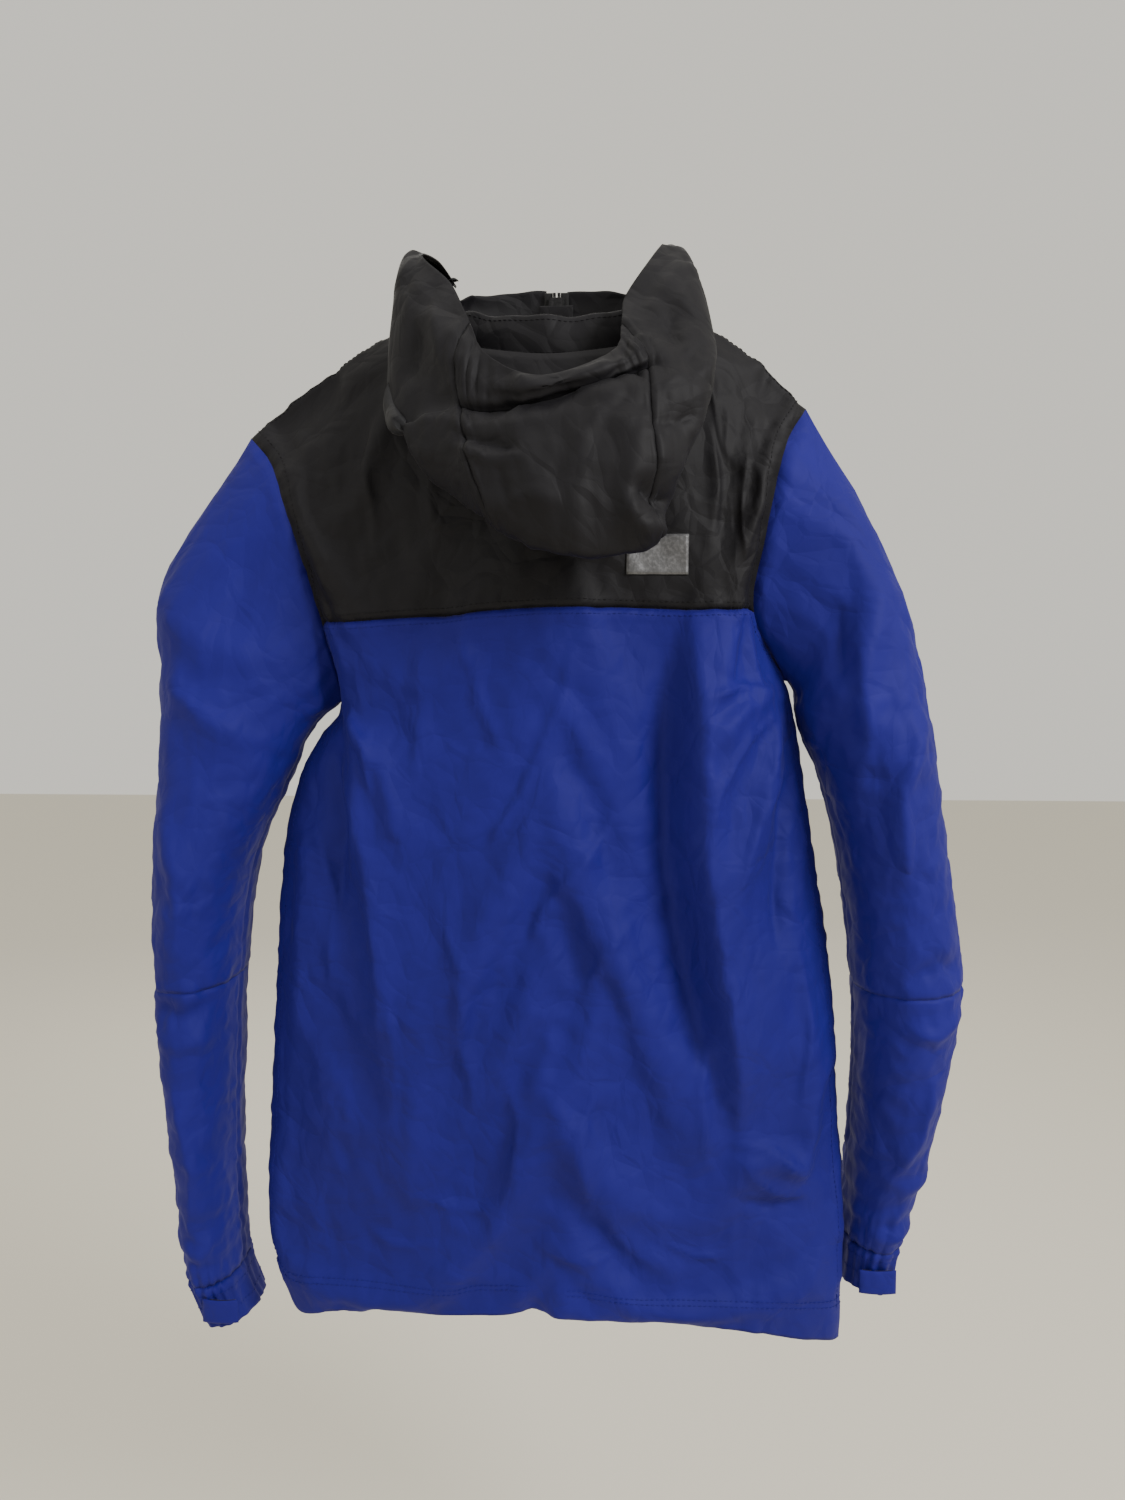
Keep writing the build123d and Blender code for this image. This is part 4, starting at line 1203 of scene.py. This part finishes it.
def build_trims():
    """Tapes, flap, pads, placket, welts, pocket bags, tabs, loop and label."""
    front = facing_place(0.0)

    def on_front(name, node, material, body, step=0.005, wave=0.0004, trim=0.0, wrap=0.0):
        (x0, x1), up, out = spans_of(node)
        made = slab(name, front, (x0 + trim, x1 - trim), up, out, step=step, wave=wave)
        for vertex in made.data.vertices:
            vertex.co.y -= wrap * ((vertex.co.x - (x0 + x1) / 2) / 0.015) ** 2
        return dress(made, material, body, node, flat_share=0.5)

    flap = on_front("storm_flap_cloth", "storm_flap", "blue_shell", "storm_flap", wave=0.0007)
    base = on_front("storm_flap_base_cloth", "storm_flap_base", "blue_shell", "torso")
    for cloth in (flap, base):
        cloth.data.materials.append(MATERIALS["black_shell"])
        for polygon in cloth.data.polygons:
            polygon.material_index = int(polygon.center.z > YOKE_Z)
    on_front("placket_cloth", "inner_placket", "black_shell", "torso", wave=0.0006)
    on_front("size_label_cloth", "size_label", "label", "torso", 0.002, 0.0002)
    for node, body in (("flap_hook_pads", "storm_flap"), ("flap_loop_pads", "torso")):
        (x0, x1), (z0, z1), out = spans_of(node)
        pads = [
            slab("pad", front, (x0, x1), (z, z + 0.04), out, step=0.003, wave=0.0001)
            for z in np.linspace(z0, z1 - 0.04, 5)
        ]
        dress(join(node + "_pile", pads), "hook_and_loop", body, node, flat_share=0.5)
    closure = facing_place(-0.09834)
    tapes = []
    for node, planes, low_high in (
        ("front_zip_tapes", [closure], (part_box("front_zip_tapes")[0][2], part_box("front_zip_tapes")[1][2])),
        ("pocket_zip_tapes", [plane_at(0.122), plane_at(-0.122)], (-0.574, -0.406)),
    ):
        strips = [
            slab("tape", place, tuple(sorted((edge * 0.0033, edge * 0.0099))), low_high, (-0.0039, -0.0029), 0.003, 0.0001)
            for place in planes
            for edge in (1, -1)
        ]
        tapes.append(dress(join(node + "_woven", strips), "black_webbing", "torso", node, flat_share=0.5))
    welts, bags = [], []
    for side in (1, -1):
        place = plane_at(side * 0.122)
        across = tuple(sorted((side * 0.011, side * 0.023)))
        welts.append(slab("welt", place, across, (-0.581, -0.399), (0.0022, 0.0042), 0.004, 0.0005))
        across = tuple(sorted((side * 0.014, side * -0.086)))
        bags.append(slab("bag", place, across, (-0.62, -0.393), (-0.0222, -0.0200), 0.006, 0.0010))
    dress(join("pocket_welts_cloth", welts), "blue_shell", "torso", "pocket_welts", flat_share=0.5)
    dress(join("pocket_bags_cloth", bags), "lining", "torso", "pocket_bags", flat_share=0.5)
    for word in ("left", "right"):
        tab = f"{word}_cuff_tab"
        on_front(f"{word}_cuff_tab_cloth", tab, "blue_shell", tab, 0.0025, 0.0003, 0.005, 0.0025)
        on_front(f"{word}_cuff_hook_pile", f"{word}_cuff_hook_pad", "hook_and_loop", tab, 0.003, 0.0001, 0, 0.0025)
        on_front(f"{word}_cuff_loop_pile", f"{word}_cuff_loop_pad", "hook_and_loop", f"{word}_forearm", 0.003, 0.0001, 0, 0.0025)
    low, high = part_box("hang_loop")
    loop = []
    for t in np.linspace(-1, 1, 40):
        bow = (1 - abs(t) ** 6) ** 0.5 if abs(t) < 1 else 0.0
        loop.append((t * (high[0] - 0.001), high[1] + (low[1] + 0.0006 - high[1]) * bow))
    strip = np.array([[(x, y, z) for x, y in loop] for z in np.linspace(low[2], high[2], 7)])
    cord = thicken(from_grid("hang_loop_cloth", strip), 0.0011, offset=0.0)
    dress(cord, "black_webbing", "torso", "hang_loop", flat_share=0.5)
    return [flap, base]


YOKE_Z = -0.194  # height of the yoke seam at the closure
CAD_FINISH = {
    "front_zip_teeth": "zip_chain",
    "pocket_zip_teeth": "zip_chain",
    "front_zip_slider": "zip_hardware",
    "front_zip_pull": "zip_hardware",
    "front_zip_stops": "zip_hardware",
    "left_pocket_slider": "zip_hardware",
    "right_pocket_slider": "zip_hardware",
    "left_pocket_pull": "zip_hardware",
    "right_pocket_pull": "zip_hardware",
    "hem_eyelets": "eyelet_metal",
}


def finish_nodes():
    """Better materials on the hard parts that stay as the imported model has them."""
    for node, material in CAD_FINISH.items():
        for material_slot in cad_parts[node].material_slots:
            material_slot.material = MATERIALS[material]


# ------------------------------------------------------------------ assembly
def build_jacket():
    shell, piece = build_shell()
    shape_shell(shell, piece)
    lines = seam_lines(shell, points_of(piece.data))
    hem_inner = hem_turning(shell, points_of(piece.data))
    stitch_lines = offset_lines(shell, points_of(piece.data))
    use_modifier(piece, "SUBSURF", levels=1, render_levels=1)
    sew(piece, lines)
    panels = split_panels(piece)
    surface = tree_of(*panels.values())
    hood, lining, hood_lines = build_hood()
    collar, collar_lines = build_collar()
    hood_surface, collar_surface = tree_of(*hood.values()), tree_of(*collar.values())
    for name, panel in panels.items():
        side = name.split("_")[0]
        thicken(panel, 0.0009)
        if name.endswith("upper_sleeve"):
            dress(panel, "blue_shell", None, name, flat_share=0.5)
            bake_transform(panel)
        elif name.endswith("lower_sleeve"):
            dress(panel, "blue_shell", None, name, flat_share=0.5)
            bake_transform(panel)
        elif name.endswith("cuff_band"):
            dress(panel, "blue_shell", f"{side}_forearm", name, flat_share=0.5)
        else:
            dress(panel, "black_shell" if "yoke" in name else "blue_shell", "torso", name, flat_share=0.5)
    for name, part in hood.items():
        thicken(part, 0.0010)
        dress(part, "black_shell", None, name, flat_share=0.5)
        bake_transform(part)
    thicken(lining, 0.0006)
    dress(lining, "lining", None, "hood_lining", flat_share=0.5)
    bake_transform(lining)
    for name, part in collar.items():
        if name == "neck_facing":
            thicken(part, 0.0008)
        plain_cloth = name == "neck_facing"
        finish = "lining" if plain_cloth else "black_shell"
        dress(part, finish, "torso", name, flat_share=0.5 if plain_cloth else 1.0)
    dress(thicken(hem_inner, 0.0008), "blue_shell", "torso", "hem_channel", flat_share=0.5)
    patch_piece(surface)
    flaps = build_trims()
    finish_nodes()
    for name, threads, body in (
        ("stitching_blue", [line for kind, line in stitch_lines if kind == "blue"], "torso"),
        ("stitching_black", [line for kind, line in stitch_lines if kind == "black"], "torso"),
    ):
        sewn = stitches(name, threads, surface)
        dress(sewn, "blue_shell" if "blue" in name else "black_shell", body)
    sewn = stitches("stitching_collar", collar_lines, collar_surface)
    dress(sewn, "black_shell", "torso")
    sewn = stitches("stitching_hood", hood_lines, hood_surface)
    dress(sewn, "black_shell", None)
    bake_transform(sewn)
    for side in ("left", "right"):
        threads = [line for kind, line in stitch_lines if kind == side + "_cuff"]
        dress(stitches(f"stitching_{side}_cuff", threads, surface), "blue_shell", f"{side}_forearm")
    low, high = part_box("storm_flap")
    edge = [np.array([(x, low[1], z) for z in np.linspace(low[2] + 0.005, high[2] - 0.005, 30)]) for x in (low[0] + 0.005, low[0] + 0.009)]
    dress(stitches("stitching_flap", edge, tree_of(flaps[0])), "blue_shell", "storm_flap")


def hem_turning(shell, points):
    """The turned-up hem inside the shell."""
    rows = 5
    loop = []
    for name, order in (("left_front", 1), ("left_back", -1), ("right_back", 1), ("right_front", -1)):
        loop.append(points[shell.grids[name][:rows, ::order]])
    grid = np.concatenate(loop, axis=1)
    centre = grid.mean(axis=(0, 1))
    inward = centre - grid
    inward[..., 2] = 0
    inward /= np.linalg.norm(inward, axis=-1, keepdims=True)
    return from_grid("hem_turning", grid + inward * 0.011 + np.array([0, 0, 0.001]))


def offset_lines(shell, points):
    """Where the topstitching runs: beside each seam, by the colour of its thread."""
    out = []
    yoke = int(np.argmin(abs(ROW_AT - YOKE_ROW)))
    for word in ("left", "right"):
        for half in ("back", "front"):
            grid = shell.grids[f"{word}_{half}"]
            p = points[grid]
            out.append(("black", p[yoke] * 0.3 + p[yoke + 1] * 0.7))
            out.append(("blue", p[yoke] * 0.3 + p[yoke - 1] * 0.7))
            out.append(("blue", p[3, 2:] * 0.3 + p[4, 2:] * 0.7))
            out.append(("blue", p[3, 2:] * 0.75 + p[4, 2:] * 0.25))
            if half == "back":
                out.append(("black", p[-2, 20:-1] * 0.8 + p[-1, 20:-1] * 0.2))
            under = int(np.argmin(abs(ROW_AT - UNDERARM_ROW)))
            edge = p[under:, -1] * 0.25 + p[under:, -2] * 0.75
            out.append(("black", edge[yoke - under :]))
            out.append(("blue", edge[: yoke - under + 1]))
        out.append(("blue", points[shell.grids[f"{word}_back"][3:under, -2]]))
        sleeve, at = shell.grids[f"{word}_sleeve"], shell.sleeve_at[word]
        ring = int(np.argmin(abs(at - CUFF_SECTION)))
        for k in (ring + 1, ring + 3):
            loop = points[np.append(sleeve[k], sleeve[k, 0])]
            out.append((f"{word}_cuff", loop))
    return out


def patch_piece(surface):
    """The plain reflective patch, laid on the yoke."""
    low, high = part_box("reflective_patch")
    rows = []
    for z in np.linspace(low[2], high[2], 14):
        row = []
        for x in np.linspace(low[0], high[0], 20):
            hit = surface.ray_cast(Vector((x, 0.3, z)), Vector((0, -1, 0)))
            row.append(tuple(hit[0] + hit[1] * 0.0007) if hit[0] else (x, high[1], z))
        rows.append(row)
    patch = thicken(from_grid("reflective_patch_film", np.array(rows)), 0.0005, offset=-1)
    dress(patch, "reflective", "torso", "reflective_patch", flat_share=0.5)


add_camera()
add_stage()
build_jacket()
